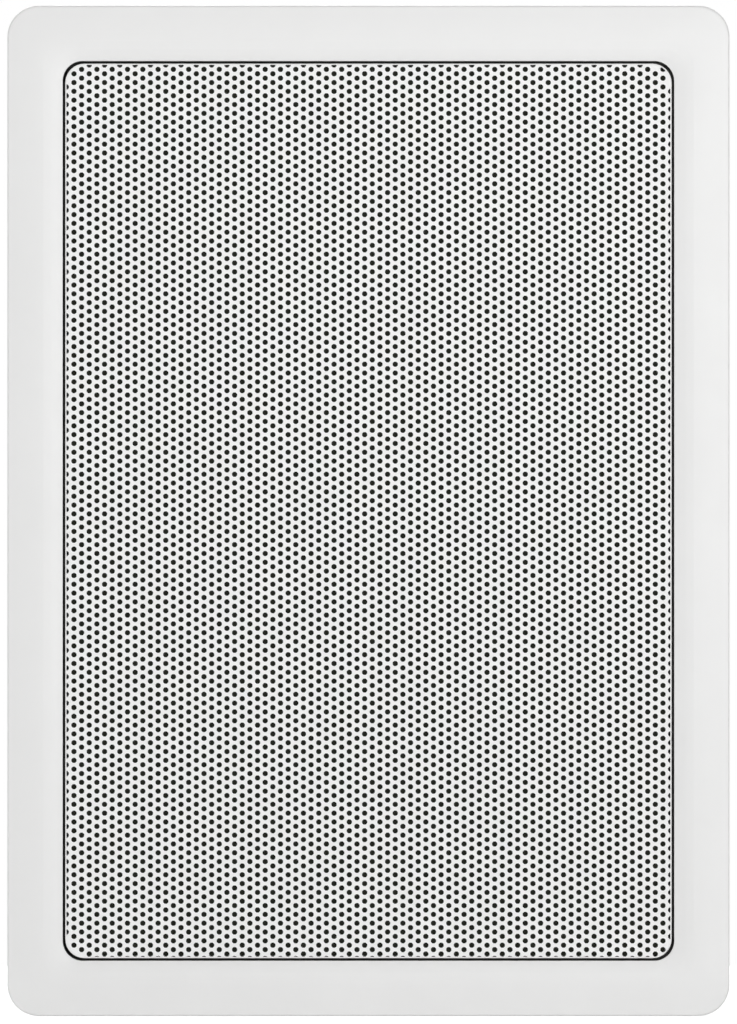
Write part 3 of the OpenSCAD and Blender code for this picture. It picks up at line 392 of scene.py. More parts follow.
def catmull(route, steps):
    """A smooth curve through the points of a route."""
    out = []
    last = len(route) - 1
    for i in range(last):
        a, b, c, d = (Vector(route[k]) for k in (max(i - 1, 0), i, i + 1, min(i + 2, last)))
        square = 2 * a - 5 * b + 4 * c - d
        cube = 3 * b - a - 3 * c + d
        for k in range(steps):
            t = k / steps
            out.append(0.5 * (2 * b + (c - a) * t + square * t * t + cube * t ** 3))
    out.append(Vector(route[last]))
    return out


def tube(name, route, radius, steps=8, sides=12, ribs=0.0):
    """A round tube along a route. Ribs above nought give it the lay of a braid or a stranded wire."""
    path = catmull(route, steps)
    turn = Vector((1, 0, 0))
    points = []
    for i, p in enumerate(path):
        ahead = path[min(i + 1, len(path) - 1)] - path[max(i - 1, 0)]
        ahead.normalize()
        if abs(ahead.dot(turn)) > 0.9:
            turn = Vector((0, 0, 1))
        turn = (turn - ahead * ahead.dot(turn)).normalized()
        side = ahead.cross(turn)
        for k in range(sides):
            a = 2 * math.pi * k / sides
            r = radius * (1 - ribs * (0.5 + 0.5 * math.cos(4 * a + 0.9 * i)))
            points.append(p + turn * (r * math.cos(a)) + side * (r * math.sin(a)))
    faces = []
    for i in range(len(path) - 1):
        for k in range(sides):
            j = (k + 1) % sides
            faces.append([i * sides + k, i * sides + j, (i + 1) * sides + j, (i + 1) * sides + k])
    faces.append(list(range(sides - 1, -1, -1)))
    faces.append([(len(path) - 1) * sides + k for k in range(sides)])
    return smooth_by_angle(mesh_object(name, points, faces), 60)


class Look:
    """One node material in object coordinates, with lengths in millimetres."""

    def __init__(self, name, colour, rough, metal=0.0, **plain):
        self.mat = bpy.data.materials.new(name)
        self.mat.use_nodes = True
        self.tree = self.mat.node_tree
        self.shader = self.tree.nodes["Principled BSDF"]
        self.colour = colour
        self.shader.inputs["Base Color"].default_value = (*colour, 1.0)
        self.shader.inputs["Roughness"].default_value = rough
        self.shader.inputs["Metallic"].default_value = metal
        for key, value in plain.items():
            self.shader.inputs[key.replace("_", " ")].default_value = value

    def node(self, kind, **settings):
        made = self.tree.nodes.new(kind)
        for key, value in settings.items():
            setattr(made, key, value)
        return made

    def join(self, a, b):
        self.tree.links.new(a, b)

    def coords(self, stretch=(1, 1, 1), centre=(0, 0, 0)):
        place = self.node("ShaderNodeTexCoord")
        mapping = self.node("ShaderNodeMapping")
        mapping.inputs["Scale"].default_value = [1000 * s for s in stretch]
        mapping.inputs["Location"].default_value = [-c * s for c, s in zip(centre, stretch)]
        self.join(place.outputs["Object"], mapping.inputs["Vector"])
        return mapping.outputs["Vector"]

    def noise(self, size, detail=3.0, stretch=(1, 1, 1), rough=0.5):
        made = self.node("ShaderNodeTexNoise")
        made.inputs["Scale"].default_value = 1 / size
        made.inputs["Detail"].default_value = detail
        made.inputs["Roughness"].default_value = rough
        self.join(self.coords(stretch), made.inputs["Vector"])
        return made.outputs["Fac"]

    def speckle(self, size):
        made = self.node("ShaderNodeTexVoronoi")
        made.inputs["Scale"].default_value = 1 / size
        self.join(self.coords(), made.inputs["Vector"])
        return made.outputs["Distance"]

    def bands(self, pitch, axis, wobble=0.0, centre=(0, 0, 0), rings=False):
        """Parallel threads along an axis, or rings about the Y axis, pitch apart."""
        made = self.node("ShaderNodeTexWave", wave_type="RINGS" if rings else "BANDS", wave_profile="SIN")
        if rings:
            made.rings_direction = axis
        else:
            made.bands_direction = axis
        made.inputs["Scale"].default_value = 2 * math.pi / (20 * pitch)
        made.inputs["Distortion"].default_value = wobble
        made.inputs["Detail"].default_value = 1.0
        made.inputs["Detail Scale"].default_value = 2.0
        self.join(self.coords(centre=centre), made.inputs["Vector"])
        return made.outputs["Fac"]

    def calc(self, operation, a, b):
        made = self.node("ShaderNodeMath", operation=operation)
        for k, value in enumerate((a, b)):
            if isinstance(value, (int, float)):
                made.inputs[k].default_value = value
            else:
                self.join(value, made.inputs[k])
        return made.outputs["Value"]

    def weave(self, pitch, axes="XZ"):
        """Height of a plain weave: each thread passes over and under its neighbours."""
        warp = self.bands(pitch, axes[0], 0.3)
        weft = self.bands(pitch, axes[1], 0.3)
        over = self.node("ShaderNodeTexChecker")
        over.inputs["Scale"].default_value = 1 / pitch
        over.inputs["Color1"].default_value = (1, 1, 1, 1)
        over.inputs["Color2"].default_value = (0, 0, 0, 1)
        self.join(self.coords(), over.inputs["Vector"])
        mix = self.node("ShaderNodeMix")
        self.join(over.outputs["Fac"], mix.inputs["Factor"])
        self.join(warp, mix.inputs["A"])
        self.join(weft, mix.inputs["B"])
        return mix.outputs["Result"]

    def tint(self, fac, spread, other=None):
        """Base colour runs from a darker to a lighter tone, or to another colour, with the factor."""
        low = [c * (1 - spread) for c in self.colour]
        high = [min(1.0, c * (1 + spread)) for c in self.colour] if other is None else other
        mix = self.node("ShaderNodeMix", data_type="RGBA")
        self.join(fac, mix.inputs["Factor"])
        mix.inputs[6].default_value = (*low, 1.0)
        mix.inputs[7].default_value = (*high, 1.0)
        self.join(mix.outputs[2], self.shader.inputs["Base Color"])
        return self

    def gloss(self, fac, low, high):
        made = self.node("ShaderNodeMapRange")
        made.inputs["To Min"].default_value = low
        made.inputs["To Max"].default_value = high
        self.join(fac, made.inputs["Value"])
        self.join(made.outputs["Result"], self.shader.inputs["Roughness"])
        return self

    def bump(self, height, depth, strength=1.0):
        """Relief of the given depth in millimetres."""
        made = self.node("ShaderNodeBump")
        made.inputs["Strength"].default_value = strength
        made.inputs["Distance"].default_value = depth * MM
        self.join(height, made.inputs["Height"])
        self.join(made.outputs["Normal"], self.shader.inputs["Normal"])
        return self

    def step(self, axis, edge, above=True):
        """One where the coordinate lies above the edge in millimetres, and nought elsewhere."""
        place = self.node("ShaderNodeTexCoord")
        split = self.node("ShaderNodeSeparateXYZ")
        self.join(place.outputs["Object"], split.inputs["Vector"])
        return self.calc("GREATER_THAN" if above else "LESS_THAN", split.outputs[axis], edge * MM)


def plastic(name, colour, rough, grain=0.5, depth=0.01):
    """Moulded plastic with a fine spark-eroded grain."""
    look = Look(name, colour, rough)
    fine = look.noise(grain, 4.0)
    look.tint(look.noise(18.0, 3.0), 0.025)
    look.gloss(look.noise(4.0, 2.0), rough - 0.05, rough + 0.06)
    return look.bump(fine, depth, 0.6).mat


def frame_moulding(name, colour, rough):
    """White moulding whose pocket and the gap round the grille carry painted shade in near black, with a
    soft fall to the opening.
    """
    look = Look(name, colour, rough)
    place = look.node("ShaderNodeTexCoord")
    split = look.node("ShaderNodeSeparateXYZ")
    look.join(place.outputs["Object"], split.inputs["Vector"])
    reach = []
    for axis, half in (("X", OPENING_W / 2), ("Z", OPENING_H / 2)):
        far = look.calc("ABSOLUTE", split.outputs[axis], 0.0)
        reach.append(look.calc("SUBTRACT", far, (half - OPENING_R) * MM))
    # Distance from the opening's outline, outwards
    dx = look.calc("MAXIMUM", reach[0], 0.0)
    dz = look.calc("MAXIMUM", reach[1], 0.0)
    squares = look.calc("ADD", look.calc("MULTIPLY", dx, dx), look.calc("MULTIPLY", dz, dz))
    far = look.calc("SQRT", squares, 0.0)
    away = look.calc("SUBTRACT", far, OPENING_R * MM)
    inside = look.calc("LESS_THAN", away, SHADE_EDGE * MM)
    deep = look.calc("GREATER_THAN", split.outputs["Y"], SHADE_FRONT * MM)
    shallow = look.calc("LESS_THAN", split.outputs["Y"], SHADE_BACK * MM)
    # Only faces that look to the front or into the pocket
    facing = look.node("ShaderNodeSeparateXYZ")
    look.join(look.node("ShaderNodeNewGeometry").outputs["True Normal"], facing.inputs["Vector"])
    outwards = look.calc(
        "ADD",
        look.calc("MULTIPLY", facing.outputs["X"], split.outputs["X"]),
        look.calc("MULTIPLY", facing.outputs["Z"], split.outputs["Z"]),
    )
    inner = look.calc("LESS_THAN", outwards, 0.5 * MM)
    front = look.calc("LESS_THAN", facing.outputs["Y"], 0.5)
    reached = look.calc("MULTIPLY", look.calc("MULTIPLY", inner, front), inside)
    # Painted shade: the pocket and the gap round the grille are painted near black where shadow falls
    painted_shade = look.calc("MULTIPLY", look.calc("MULTIPLY", deep, shallow), reached)
    look.tint(look.noise(18.0, 3.0), 0.02)
    mix = look.node("ShaderNodeMix", data_type="RGBA")
    look.join(painted_shade, mix.inputs["Factor"])
    look.join(look.shader.inputs["Base Color"].links[0].from_socket, mix.inputs[6])
    mix.inputs[7].default_value = (0.03, 0.03, 0.027, 1.0)
    look.join(mix.outputs[2], look.shader.inputs["Base Color"])
    look.gloss(look.noise(4.0, 2.0), rough - 0.04, rough + 0.06)
    # Height of the fall in millimetres: a parabola that starts at the crown
    share = look.calc("MAXIMUM", look.calc("SUBTRACT", 1.0, look.calc("DIVIDE", away, FALL_RUN * MM)), 0.0)
    fall = look.calc("MULTIPLY", look.calc("MULTIPLY", share, share), -FALL_MORE)
    grain = look.calc("MULTIPLY", look.noise(0.35, 4.0), 0.006)
    edge = look.node("ShaderNodeBevel", samples=6)
    edge.inputs["Radius"].default_value = 0.35 * MM
    relief = look.node("ShaderNodeBump")
    relief.inputs["Distance"].default_value = MM
    look.join(edge.outputs["Normal"], relief.inputs["Normal"])
    look.join(look.calc("ADD", fall, grain), relief.inputs["Height"])
    look.join(relief.outputs["Normal"], look.shader.inputs["Normal"])
    return look.mat


def metal(name, colour, rough, axis="Y", centre=(0, 0, 0), pitch=0.35, depth=0.006):
    """Turned or drawn metal with fine tool marks and slight staining."""
    look = Look(name, colour, rough, 1.0)
    marks = look.bands(pitch, axis, 1.2, centre, rings=True)
    stain = look.noise(6.0, 4.0)
    look.tint(stain, 0.10)
    look.gloss(stain, rough - 0.07, rough + 0.10)
    return look.bump(look.calc("ADD", marks, look.calc("MULTIPLY", look.noise(0.6), 0.8)), depth, 0.7).mat


def threaded(name, colour, pitch, start):
    """Plated rod whose thread begins past the depth start."""
    look = Look(name, colour, 0.3, 1.0)
    ridges_and_painted_shade = look.calc("MULTIPLY", look.bands(pitch, "Y"), look.step("Y", start))
    # The thread's roots are painted darker as shade and its crests lighter as light
    look.tint(ridges_and_painted_shade, 0.3)
    return look.bump(ridges_and_painted_shade, pitch * 0.35, 1.0).mat


def winding(name, pitch, colour=(0.60, 0.26, 0.12)):
    """Turns of enamelled wire that lie side by side round the Y axis."""
    look = Look(name, colour, 0.32, 0.85, Coat_Weight=0.4, Coat_Roughness=0.15)
    turns = look.bands(pitch, "Y", 0.15)
    # Partly random tone, partly painted shade: the grooves between the turns are painted darker
    look.tint(look.calc("MULTIPLY", turns, look.noise(3.0)), 0.35)
    return look.bump(turns, pitch * 0.4, 1.0).mat


def woven(name, colour, pitch, rough=0.85, axes="XZ", sheen=0.3, depth=0.08):
    look = Look(name, colour, rough, Sheen_Weight=sheen)
    threads = look.weave(pitch, axes)
    # Partly random tone, partly painted shade: the low parts of the weave are painted darker and the high
    # parts lighter
    look.tint(look.calc("MULTIPLY", threads, look.calc("ADD", look.noise(5.0), 0.45)), 0.45)
    return look.bump(threads, depth, 1.0).mat


def painted_steel(name, colour, rough, peel=1.4, depth=0.012):
    look = Look(name, colour, rough, Specular_IOR_Level=0.5)
    look.tint(look.noise(14.0, 3.0), 0.03 if sum(colour) > 1 else 0.2)
    look.gloss(look.noise(3.0, 2.0), rough - 0.04, rough + 0.06)
    height = look.calc("ADD", look.noise(peel, 2.0), look.calc("MULTIPLY", look.noise(0.15), 0.35))
    return look.bump(height, depth, 0.5).mat


def pressed_paper(name, colour):
    """Felted fibres."""
    look = Look(name, colour, 0.78, Sheen_Weight=0.15)
    fibres = look.calc("ADD", look.noise(0.9, 5.0, (1, 3, 0.6)), look.noise(0.7, 5.0, (0.6, 3, 1)))
    look.tint(look.calc("MULTIPLY", fibres, 0.5), 0.4)
    return look.bump(fibres, 0.05, 0.9).mat


def rubber(name, colour):
    look = Look(name, colour, 0.55, Specular_IOR_Level=0.4)
    look.tint(look.noise(5.0, 3.0), 0.25)
    look.gloss(look.noise(1.5, 3.0), 0.48, 0.66)
    return look.bump(look.noise(0.3, 2.0), 0.015, 0.6).mat


def ferrite(name):
    look = Look(name, (0.045, 0.045, 0.05), 0.62, 0.15)
    grain = look.speckle(0.6)
    patches = look.calc("MULTIPLY", look.noise(4.0), 0.5)
    look.tint(look.calc("ADD", look.calc("MULTIPLY", grain, 0.7), patches), 0.45)
    look.gloss(look.noise(2.0), 0.5, 0.75)
    return look.bump(grain, 0.05, 0.8).mat


def solder_mask(name):
    """Green lacquer over the glass cloth of a circuit board."""
    look = Look(name, (0.025, 0.15, 0.065), 0.34, Coat_Weight=0.3, Coat_Roughness=0.2)
    cloth = look.weave(0.6)
    patches = look.calc("MULTIPLY", look.noise(7.0), 0.6)
    look.tint(look.calc("ADD", look.calc("MULTIPLY", cloth, 0.25), patches), 0.3)
    return look.bump(cloth, 0.02, 0.5).mat


def laminate(name, tag_edge=None):
    """Brown paper laminate; past the edge in depth it is the brass of the tags."""
    look = Look(name, (0.23, 0.12, 0.055), 0.5)
    fibres = look.noise(1.2, 4.0, (0.4, 1, 1))
    look.tint(fibres, 0.3)
    if tag_edge is not None:
        tag = look.step("Y", tag_edge)
        mix = look.node("ShaderNodeMix", data_type="RGBA")
        look.join(tag, mix.inputs["Factor"])
        look.join(look.shader.inputs["Base Color"].links[0].from_socket, mix.inputs[6])
        mix.inputs[7].default_value = (0.70, 0.54, 0.25, 1.0)
        look.join(mix.outputs[2], look.shader.inputs["Base Color"])
        look.join(tag, look.shader.inputs["Metallic"])
    return look.bump(fibres, 0.02, 0.6).mat


def film_sleeve(name):
    """Yellow film wrap of the capacitors."""
    look = Look(name, (0.68, 0.44, 0.07), 0.3, Coat_Weight=0.3)
    look.tint(look.noise(6.0, 3.0), 0.12)
    return look.bump(look.bands(0.7, "X", 0.4), 0.02, 0.5).mat


def cement(name):
    look = Look(name, (0.76, 0.73, 0.66), 0.85)
    grain = look.speckle(0.5)
    look.tint(look.calc("MULTIPLY", grain, look.noise(2.0)), 0.12)
    return look.bump(grain, 0.06, 0.9).mat


def insulation(name, colour):
    look = Look(name, colour, 0.42, Specular_IOR_Level=0.5)
    look.tint(look.noise(4.0, 2.0), 0.15)
    return look.bump(look.noise(0.7, 2.0), 0.02, 0.5).mat


def dress(mat, *nodes):
    """Gives nodes that stay as they are their material."""
    for name in nodes:
        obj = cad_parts[name]
        if not obj.material_slots:
            obj.data.materials.append(mat)
        for place in obj.material_slots:
            place.material = mat


def finish_piece(obj, mat, body=None, replaces=()):
    """Material, body, replaced nodes and slot of a piece made here."""
    obj.data.materials.append(mat)
    if body:
        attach(obj, body)
    if replaces:
        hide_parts(*replaces)
    return obj


CORNERS = ("upper_left", "upper_right", "lower_left", "lower_right")

white_shell = frame_moulding("white_moulding", (0.86, 0.86, 0.855), 0.38)
powder_coat = painted_steel("white_powder_coat", (0.93, 0.93, 0.925), 0.5)
scrim = woven("charcoal_scrim", (0.010, 0.0115, 0.005), 0.32, 0.95, "XZ", 0.0)
black_coat = painted_steel("black_coat", (0.028, 0.028, 0.032), 0.4, 1.8, 0.02)
cone_paper = pressed_paper("black_pressed_paper", (0.045, 0.045, 0.05))
black_rubber = rubber("butyl_rubber", (0.03, 0.03, 0.032))
spider_cloth = woven("treated_cloth", (0.50, 0.36, 0.15), 0.5, 0.8, "XZ", 0.1, 0.12)
silk = woven("coated_silk", (0.035, 0.035, 0.037), 0.22, 0.55, "XZ", 0.4, 0.03)
zinc = metal("zinc_plate", (0.62, 0.63, 0.65), 0.34)
woofer_steel = metal("turned_steel", (0.62, 0.63, 0.65), 0.32, "Y", (0, 0, WOOFER_Z))
tweeter_steel = metal("turned_cup", (0.60, 0.61, 0.64), 0.30, "Y", (0, 0, TWEETER_Z))
brass = metal("plain_brass", (0.72, 0.56, 0.26), 0.33)
foil = metal("coil_foil", (0.60, 0.56, 0.50), 0.4)
magnet_black = ferrite("ground_ferrite")
thread = threaded("zinc_thread", (0.60, 0.61, 0.63), 1.4, 13.0)
nickel = metal("nickel_plate", (0.66, 0.65, 0.62), 0.2)
fine_winding = winding("coil_winding", 0.22)
thick_winding = winding("inductor_winding_wire", 0.9)
black_abs = plastic("black_moulding", (0.035, 0.035, 0.038), 0.45, 0.5, 0.02)
red_abs = plastic("red_moulding", (0.55, 0.035, 0.025), 0.32, 0.5, 0.012)
faceplate_abs = plastic("faceplate_moulding", (0.04, 0.04, 0.042), 0.5, 0.3, 0.03)
board_green = solder_mask("green_solder_mask")
strip_brown = laminate("brown_laminate")
tweeter_strip = laminate("brown_laminate_and_tags", 20.6)
sleeve = film_sleeve("yellow_film")
white_cement = cement("cement_body")
red_wire = insulation("red_insulation", (0.50, 0.03, 0.025))
black_wire = insulation("black_insulation", (0.03, 0.03, 0.032))
tinsel_braid = winding("tinsel_braid", 0.5, (0.66, 0.36, 0.20))

dress(white_shell, "frame")
dress(powder_coat, "grille")
dress(scrim, "grille_cloth")
dress(black_coat, "woofer_basket", "woofer_screws", "tweeter_screws")
dress(black_rubber, "woofer_gasket", "woofer_surround", "tweeter_surround")
dress(cone_paper, "woofer_cone", "woofer_dust_cap")
dress(foil, "voice_coil_former")
dress(fine_winding, "voice_coil_winding", "tweeter_coil", "tinsel_leads")
dress(spider_cloth, "woofer_spider")
dress(woofer_steel, "woofer_front_plate", "woofer_back_plate")
dress(magnet_black, "woofer_magnet")
dress(strip_brown, "woofer_terminal_strip")
dress(brass, "woofer_tags", "contact_strips", *(f"clamp_nut_{c}" for c in CORNERS))
dress(faceplate_abs, "tweeter_faceplate")
dress(silk, "tweeter_dome")
dress(tweeter_steel, "tweeter_front_plate", "tweeter_pole_plate", "tweeter_cup")
dress(nickel, "tweeter_magnet")
dress(tweeter_strip, "tweeter_terminal_strip")
dress(board_green, "crossover_board")
dress(black_abs, "inductor_bobbin", "terminal_block", "button_black", *(f"clamp_arm_{c}" for c in CORNERS))
dress(red_abs, "button_red")
dress(thick_winding, "inductor_winding")
dress(sleeve, "capacitors")
dress(white_cement, "resistor")
dress(zinc, "board_screws", "block_screws", "screw_retainers", "button_spring_red", "button_spring_black")
dress(thread, *(f"clamp_screw_{c}" for c in CORNERS))
dress(red_wire, "input_wires", "woofer_wires", "tweeter_wires")


# The sheet with its real, fine holes
grille = perforated_sheet()
finish_piece(grille, powder_coat, "frame", ["grille"])


def woven_sheet(name, w, h, r, y0, y1):
    """A flat cloth with a front, a back and a rim, divided so that it isn't one face."""
    outline = rounded_outline(w, h, r)
    n = len(outline)
    points = [(x, y0, z) for x, z in outline] + [(x, y1, z) for x, z in outline]
    points += [(0, y0, 0), (0, y1, 0)]
    faces = []
    for k in range(n):
        j = (k + 1) % n
        faces.append([k, j, 2 * n])
        faces.append([n + j, n + k, 2 * n + 1])
        faces.append([j, k, n + k, n + j])
    return smooth_by_angle(mesh_object(name, points, faces), 30)


CLOTH_W = GRILLE_W - 2 * (GRILLE_T + 0.1)
CLOTH_H = GRILLE_H - 2 * (GRILLE_T + 0.1)
CLOTH_Y = GRILLE_Y + GRILLE_T
CLOTH_R = GRILLE_R - GRILLE_T - 0.1
cloth = woven_sheet("grille_scrim", CLOTH_W, CLOTH_H, CLOTH_R, CLOTH_Y + 0.02, CLOTH_Y + 0.28)
finish_piece(cloth, scrim, "frame", ["grille_cloth"])

# The rubber roll round the cone, from the gasket to the cone's rim
BASKET_Y = 7.8
CONE_R = 59.5
ROLL_OUT = 70.3
ROLL_MID = (CONE_R + ROLL_OUT) / 2
ROLL_R = (ROLL_OUT - CONE_R) / 2
RUBBER_T = 0.5
rim_y = BASKET_Y - RUBBER_T
roll = [(CONE_R - 3, rim_y)]
roll += [
    (
        ROLL_MID - ROLL_R * math.cos(math.radians(a)),
        rim_y - (ROLL_R - RUBBER_T) * math.sin(math.radians(a)),
    )
    for a in range(0, 181, 12)
]
roll += [(76.0, rim_y)]
for piece in ring_in_sectors("surround_sector", roll, RUBBER_T, WOOFER_Z, 12):
    finish_piece(piece, black_rubber, None, ["woofer_surround"])

# The corrugated cloth that centres the coil
NECK_R = 12.85
SPIDER_IN = NECK_R + 3
SPIDER_OUT = 42.4
SPIDER_R = 53.0
SPIDER_Y = 36.3
SPIDER_T = 0.5
WAVES = 4.5
STEPS = 72
spider = [(NECK_R, SPIDER_Y)]
spider += [
    (
        SPIDER_IN + (SPIDER_OUT - SPIDER_IN) * k / STEPS,
        SPIDER_Y + 1.4 * math.sin(2 * math.pi * WAVES * k / STEPS),
    )
    for k in range(STEPS + 1)
]
spider += [(SPIDER_R, SPIDER_Y)]
for piece in ring_in_sectors(
    "spider_sector", spider, SPIDER_T, WOOFER_Z, 12
):
    finish_piece(piece, spider_cloth, None, ["woofer_spider"])

# The small roll round the tweeter's dome
DOME_R = 12.75
DOME_ROLL_R = 1.4
DOME_ROLL_H = 0.98
DOME_RIM_R = 18.8
BAFFLE_Y = 9.0
DOME_T = 0.4
dome_mid = DOME_R + DOME_ROLL_R
dome_roll = [
    (
        dome_mid - (DOME_ROLL_R - 0.02) * math.cos(math.radians(a)),
        BAFFLE_Y - DOME_T - DOME_ROLL_H * math.sin(math.radians(a)),
    )
    for a in range(0, 181, 18)
]
dome_roll += [(DOME_RIM_R, BAFFLE_Y - DOME_T)]
for piece in ring_in_sectors(
    "dome_roll_sector", dome_roll, DOME_T, TWEETER_Z, 8
):
    finish_piece(piece, silk, None, ["tweeter_surround"])


# The wires inside follow the routes of the solids
PAD_X = 29.0
BOARD_BACK = 21.6
WIRE_R = 1.1


def wire_pair(stem, routes, node):
    """A red and a black wire that take the place of one node."""
    for colour, mat, route in zip(("red", "black"), (red_wire, black_wire), routes):
        wire = tube(f"{stem}_wire_{colour}", route, WIRE_R)
        finish_piece(wire, mat, "frame", [node])


BLOCK_Z = 92
BLOCK_H = 30
BUTTON_X = {"red": -40.5, "black": -56.5}
entry_z = BLOCK_Z + BLOCK_H / 2 + 2.5
wire_pair(
    "input",
    [
        [
            (x, 12.8, entry_z), (x, 17.8, entry_z), (x + 4, 23.8, entry_z + 3), (-20, 27, over),
            (0, 28, over + 1), (18, 28, over - 1), (PAD_X - 2, 27, pad), (PAD_X, BOARD_BACK + 2.5, pad),
            (PAD_X, BOARD_BACK, pad),
        ]
        for x, over, pad in ((BUTTON_X["red"], 113, 108), (BUTTON_X["black"], 119, 115))
    ],
    "input_wires",
)

STRIP_R = 49.0
STRIP_A = math.radians(45)
STRIP_Y = 38
STRIP_DEPTH = 8
TAG_L = 7
TAG_END = STRIP_Y + STRIP_DEPTH + TAG_L
woofer_routes = []
for k, s in enumerate((1, -1)):
    end_x = STRIP_R * math.cos(STRIP_A) - s * 5.5 * math.sin(STRIP_A)
    end_z = WOOFER_Z + STRIP_R * math.sin(STRIP_A) + s * 5.5 * math.cos(STRIP_A)
    pad = (68, 74)[k]
    woofer_routes.append([
        (PAD_X, BOARD_BACK, pad), (PAD_X, BOARD_BACK + 4, pad), (PAD_X - 3, BOARD_BACK + 9, pad - 4),
        (PAD_X - 3 + 4 * k, 38, 46 + 3 * k), (PAD_X - 2 + 5 * k, 48, 22), (end_x, TAG_END + 5, end_z + 8),
        (end_x, TAG_END + 4, end_z), (end_x, TAG_END, end_z),
    ])
wire_pair("woofer", woofer_routes, "woofer_wires")

CUP_Y = 19.0
CUP_END = CUP_Y + 1.2 + 0.6
tweeter_routes = []
for k in (0, 1):
    start = (84, 90)[k]
    tag_x = 6 - 12 * k
    tweeter_routes.append([
        (PAD_X, BOARD_BACK, start), (PAD_X, BOARD_BACK + 3.5, start), (PAD_X - 5, BOARD_BACK + 7, start - 1),
        (13 - 8 * k, 30, 82 + 3 * k), (tag_x, CUP_END + 5, TWEETER_Z + 1), (tag_x, CUP_END + 3, TWEETER_Z),
        (tag_x, CUP_END, TWEETER_Z),
    ])
wire_pair("tweeter", tweeter_routes, "tweeter_wires")


CONE_DEPTH = 25.2
CONE_CURVE = 1.25


def cone_y(r):
    """Depth of the cone's back at a radius."""
    share = max(0.0, (CONE_R - 3 - r) / (CONE_R - 3 - NECK_R))
    return BASKET_Y + CONE_DEPTH * share ** CONE_CURVE


def from_strip(x, y, z):
    """A point of the terminal strip's own axes, whose X runs outwards at 45 degrees."""
    c = math.cos(STRIP_A)
    s = math.sin(STRIP_A)
    return x * c - z * s, y, WOOFER_Z + x * s + z * c


LEAD_R = 0.7
lead_end = cone_y(math.hypot(38, 13)) + 1 + LEAD_R + 0.5
for name, s in (("tinsel_lead_upper", 1), ("tinsel_lead_lower", -1)):
    route = [
        (STRIP_R, 42, s * 9), (STRIP_R, 42, s * 12), (STRIP_R + 8, 38, s * 16.5),
        (STRIP_R + 8, 30.8, s * 17.5), (STRIP_R + 2, 25.8, s * 17), (44, lead_end + 2, s * 15),
        (38, lead_end, s * 13),
    ]
    lead = tube(name, [from_strip(*p) for p in route], LEAD_R, 10, 12, 0.14)
    lead.data.materials.append(tinsel_braid)
    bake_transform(lead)
    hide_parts("tinsel_leads")


# The springs under the buttons
SPRING_R = 2.2
SPRING_WIRE_R = 0.3
SPRING_TURNS = 5
SPRING_Z = 96
SPRING_LOW = 20 - 3 - 0.4 + SPRING_WIRE_R + 0.05
SPRING_HIGH = 31 - 3 - SPRING_WIRE_R - 0.05
for colour, x in BUTTON_X.items():
    rings = 16 * SPRING_TURNS
    coil = [
        (
            x + SPRING_R * math.cos(2 * math.pi * k / 16),
            SPRING_LOW + (SPRING_HIGH - SPRING_LOW) * k / rings,
            SPRING_Z + SPRING_R * math.sin(2 * math.pi * k / 16),
        )
        for k in range(rings + 1)
    ]
    spring = tube(f"spring_coil_{colour}", coil, SPRING_WIRE_R, 1, 8)
    finish_piece(spring, zinc, f"button_{colour}", [f"button_spring_{colour}"])
    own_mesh(spring)


# Floor, light and camera
floor_mesh = bpy.data.meshes.new("floor")
FLOOR = 1.1
floor_z = -FLANGE_H / 2 * MM
floor_mesh.from_pydata(
    [(-FLOOR, -FLOOR, floor_z), (FLOOR, -FLOOR, floor_z), (FLOOR, FLOOR, floor_z), (-FLOOR, FLOOR, floor_z)],
    [], [(0, 1, 2, 3)],
)
floor = bpy.data.objects.new("floor", floor_mesh)
bpy.context.scene.collection.objects.link(floor)

# What the camera sees of the floor is lifted, so that it runs into the white background
FLOOR_GLOW = 0.54
floor_look = Look("pale_floor", (0.88, 0.88, 0.88), 0.9)
rays = floor_look.node("ShaderNodeLightPath")
seen = floor_look.calc("MAXIMUM", rays.outputs["Is Camera Ray"], rays.outputs["Is Glossy Ray"])
seen = floor_look.calc("MAXIMUM", seen, rays.outputs["Is Transmission Ray"])
glow = floor_look.node("ShaderNodeEmission")
floor_look.join(floor_look.calc("MULTIPLY", seen, FLOOR_GLOW), glow.inputs["Strength"])
total = floor_look.node("ShaderNodeAddShader")
out = next(n for n in floor_look.tree.nodes if n.type == "OUTPUT_MATERIAL")
floor_look.join(floor_look.shader.outputs["BSDF"], total.inputs[0])
floor_look.join(glow.outputs["Emission"], total.inputs[1])
floor_look.join(total.outputs["Shader"], out.inputs["Surface"])
floor.data.materials.append(floor_look.mat)

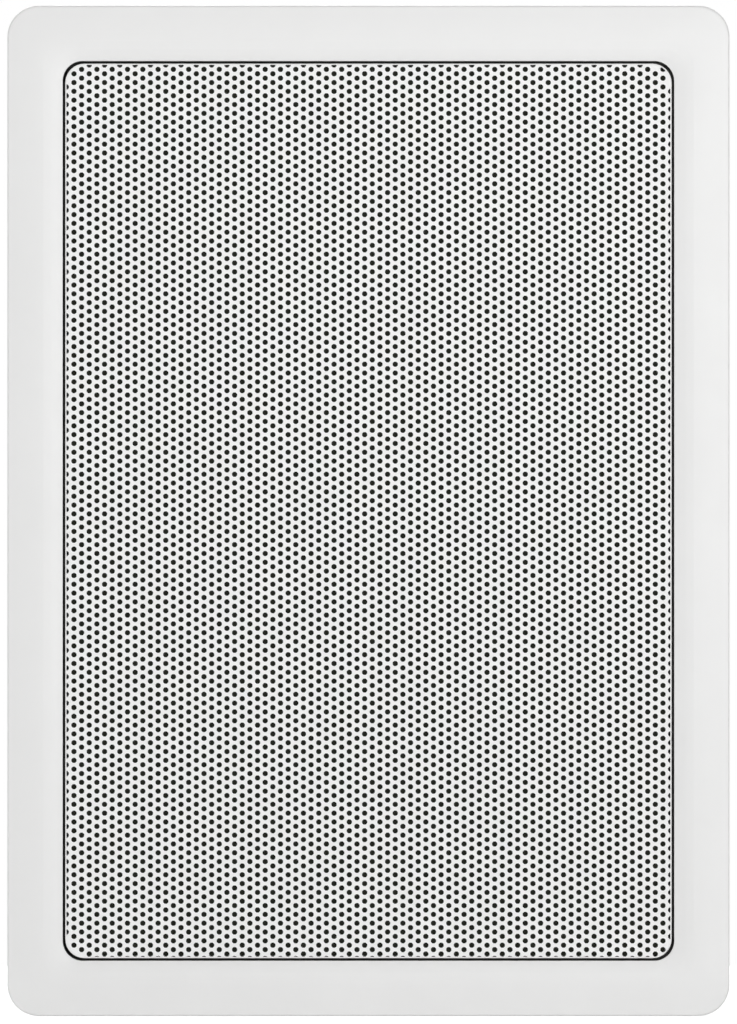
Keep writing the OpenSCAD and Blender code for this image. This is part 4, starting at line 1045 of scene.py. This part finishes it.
world = bpy.data.worlds.new("studio")
bpy.context.scene.world = world
world.use_nodes = True
tree = world.node_tree
back = tree.nodes["Background"]
back.inputs["Color"].default_value = (1, 1, 1, 1)
WORLD = 0.35
paths = tree.nodes.new("ShaderNodeLightPath")


def world_calc(operation, a, b):
    made = tree.nodes.new("ShaderNodeMath")
    made.operation = operation
    for k, value in enumerate((a, b)):
        if isinstance(value, (int, float)):
            made.inputs[k].default_value = value
        else:
            tree.links.new(value, made.inputs[k])
    return made.outputs["Value"]


white = world_calc("MAXIMUM", paths.outputs["Is Camera Ray"], paths.outputs["Is Glossy Ray"])
white = world_calc("MAXIMUM", white, paths.outputs["Is Transmission Ray"])
strength = world_calc("ADD", world_calc("MULTIPLY", white, 1 - WORLD), WORLD)
tree.links.new(strength, back.inputs["Strength"])


def area_light(name, place, size, watts):
    """A soft round lamp that points at the origin."""
    data = bpy.data.lights.new(name, "AREA")
    data.shape = "DISK"
    data.size = size
    data.energy = watts
    lamp = bpy.data.objects.new(name, data)
    lamp.location = place
    lamp.rotation_euler = (-Vector(place)).to_track_quat("-Z", "Y").to_euler()
    bpy.context.scene.collection.objects.link(lamp)


area_light("key", (0.42, -1.4, 0.0), 0.9, 10.7)
area_light("fill", (-2.0, -2.6, 0.5), 1.4, 14)
area_light("back", (-0.7, 2.6, 1.1), 1.8, 40)

# The camera looks straight on, and its frame is the photograph's
CAMERA_DISTANCE = 10.0
SENSOR = 24.0
view_height = PHOTO_H / PX_PER_MM * MM
lens = bpy.data.cameras.new("camera")
lens.sensor_fit = "VERTICAL"
lens.sensor_height = SENSOR
lens.lens = SENSOR * CAMERA_DISTANCE / view_height
lens.clip_end = 30
camera = bpy.data.objects.new("camera", lens)
centre_x = (PHOTO_W / 2 - PHOTO_CENTRE[0]) / PX_PER_MM * MM
centre_z = (PHOTO_CENTRE[1] - PHOTO_H / 2) / PX_PER_MM * MM
camera.location = (centre_x, -CAMERA_DISTANCE, centre_z)
camera.rotation_euler = (math.pi / 2, 0, 0)
bpy.context.scene.collection.objects.link(camera)
bpy.context.scene.camera = camera
bpy.context.scene.view_settings.view_transform = "Standard"
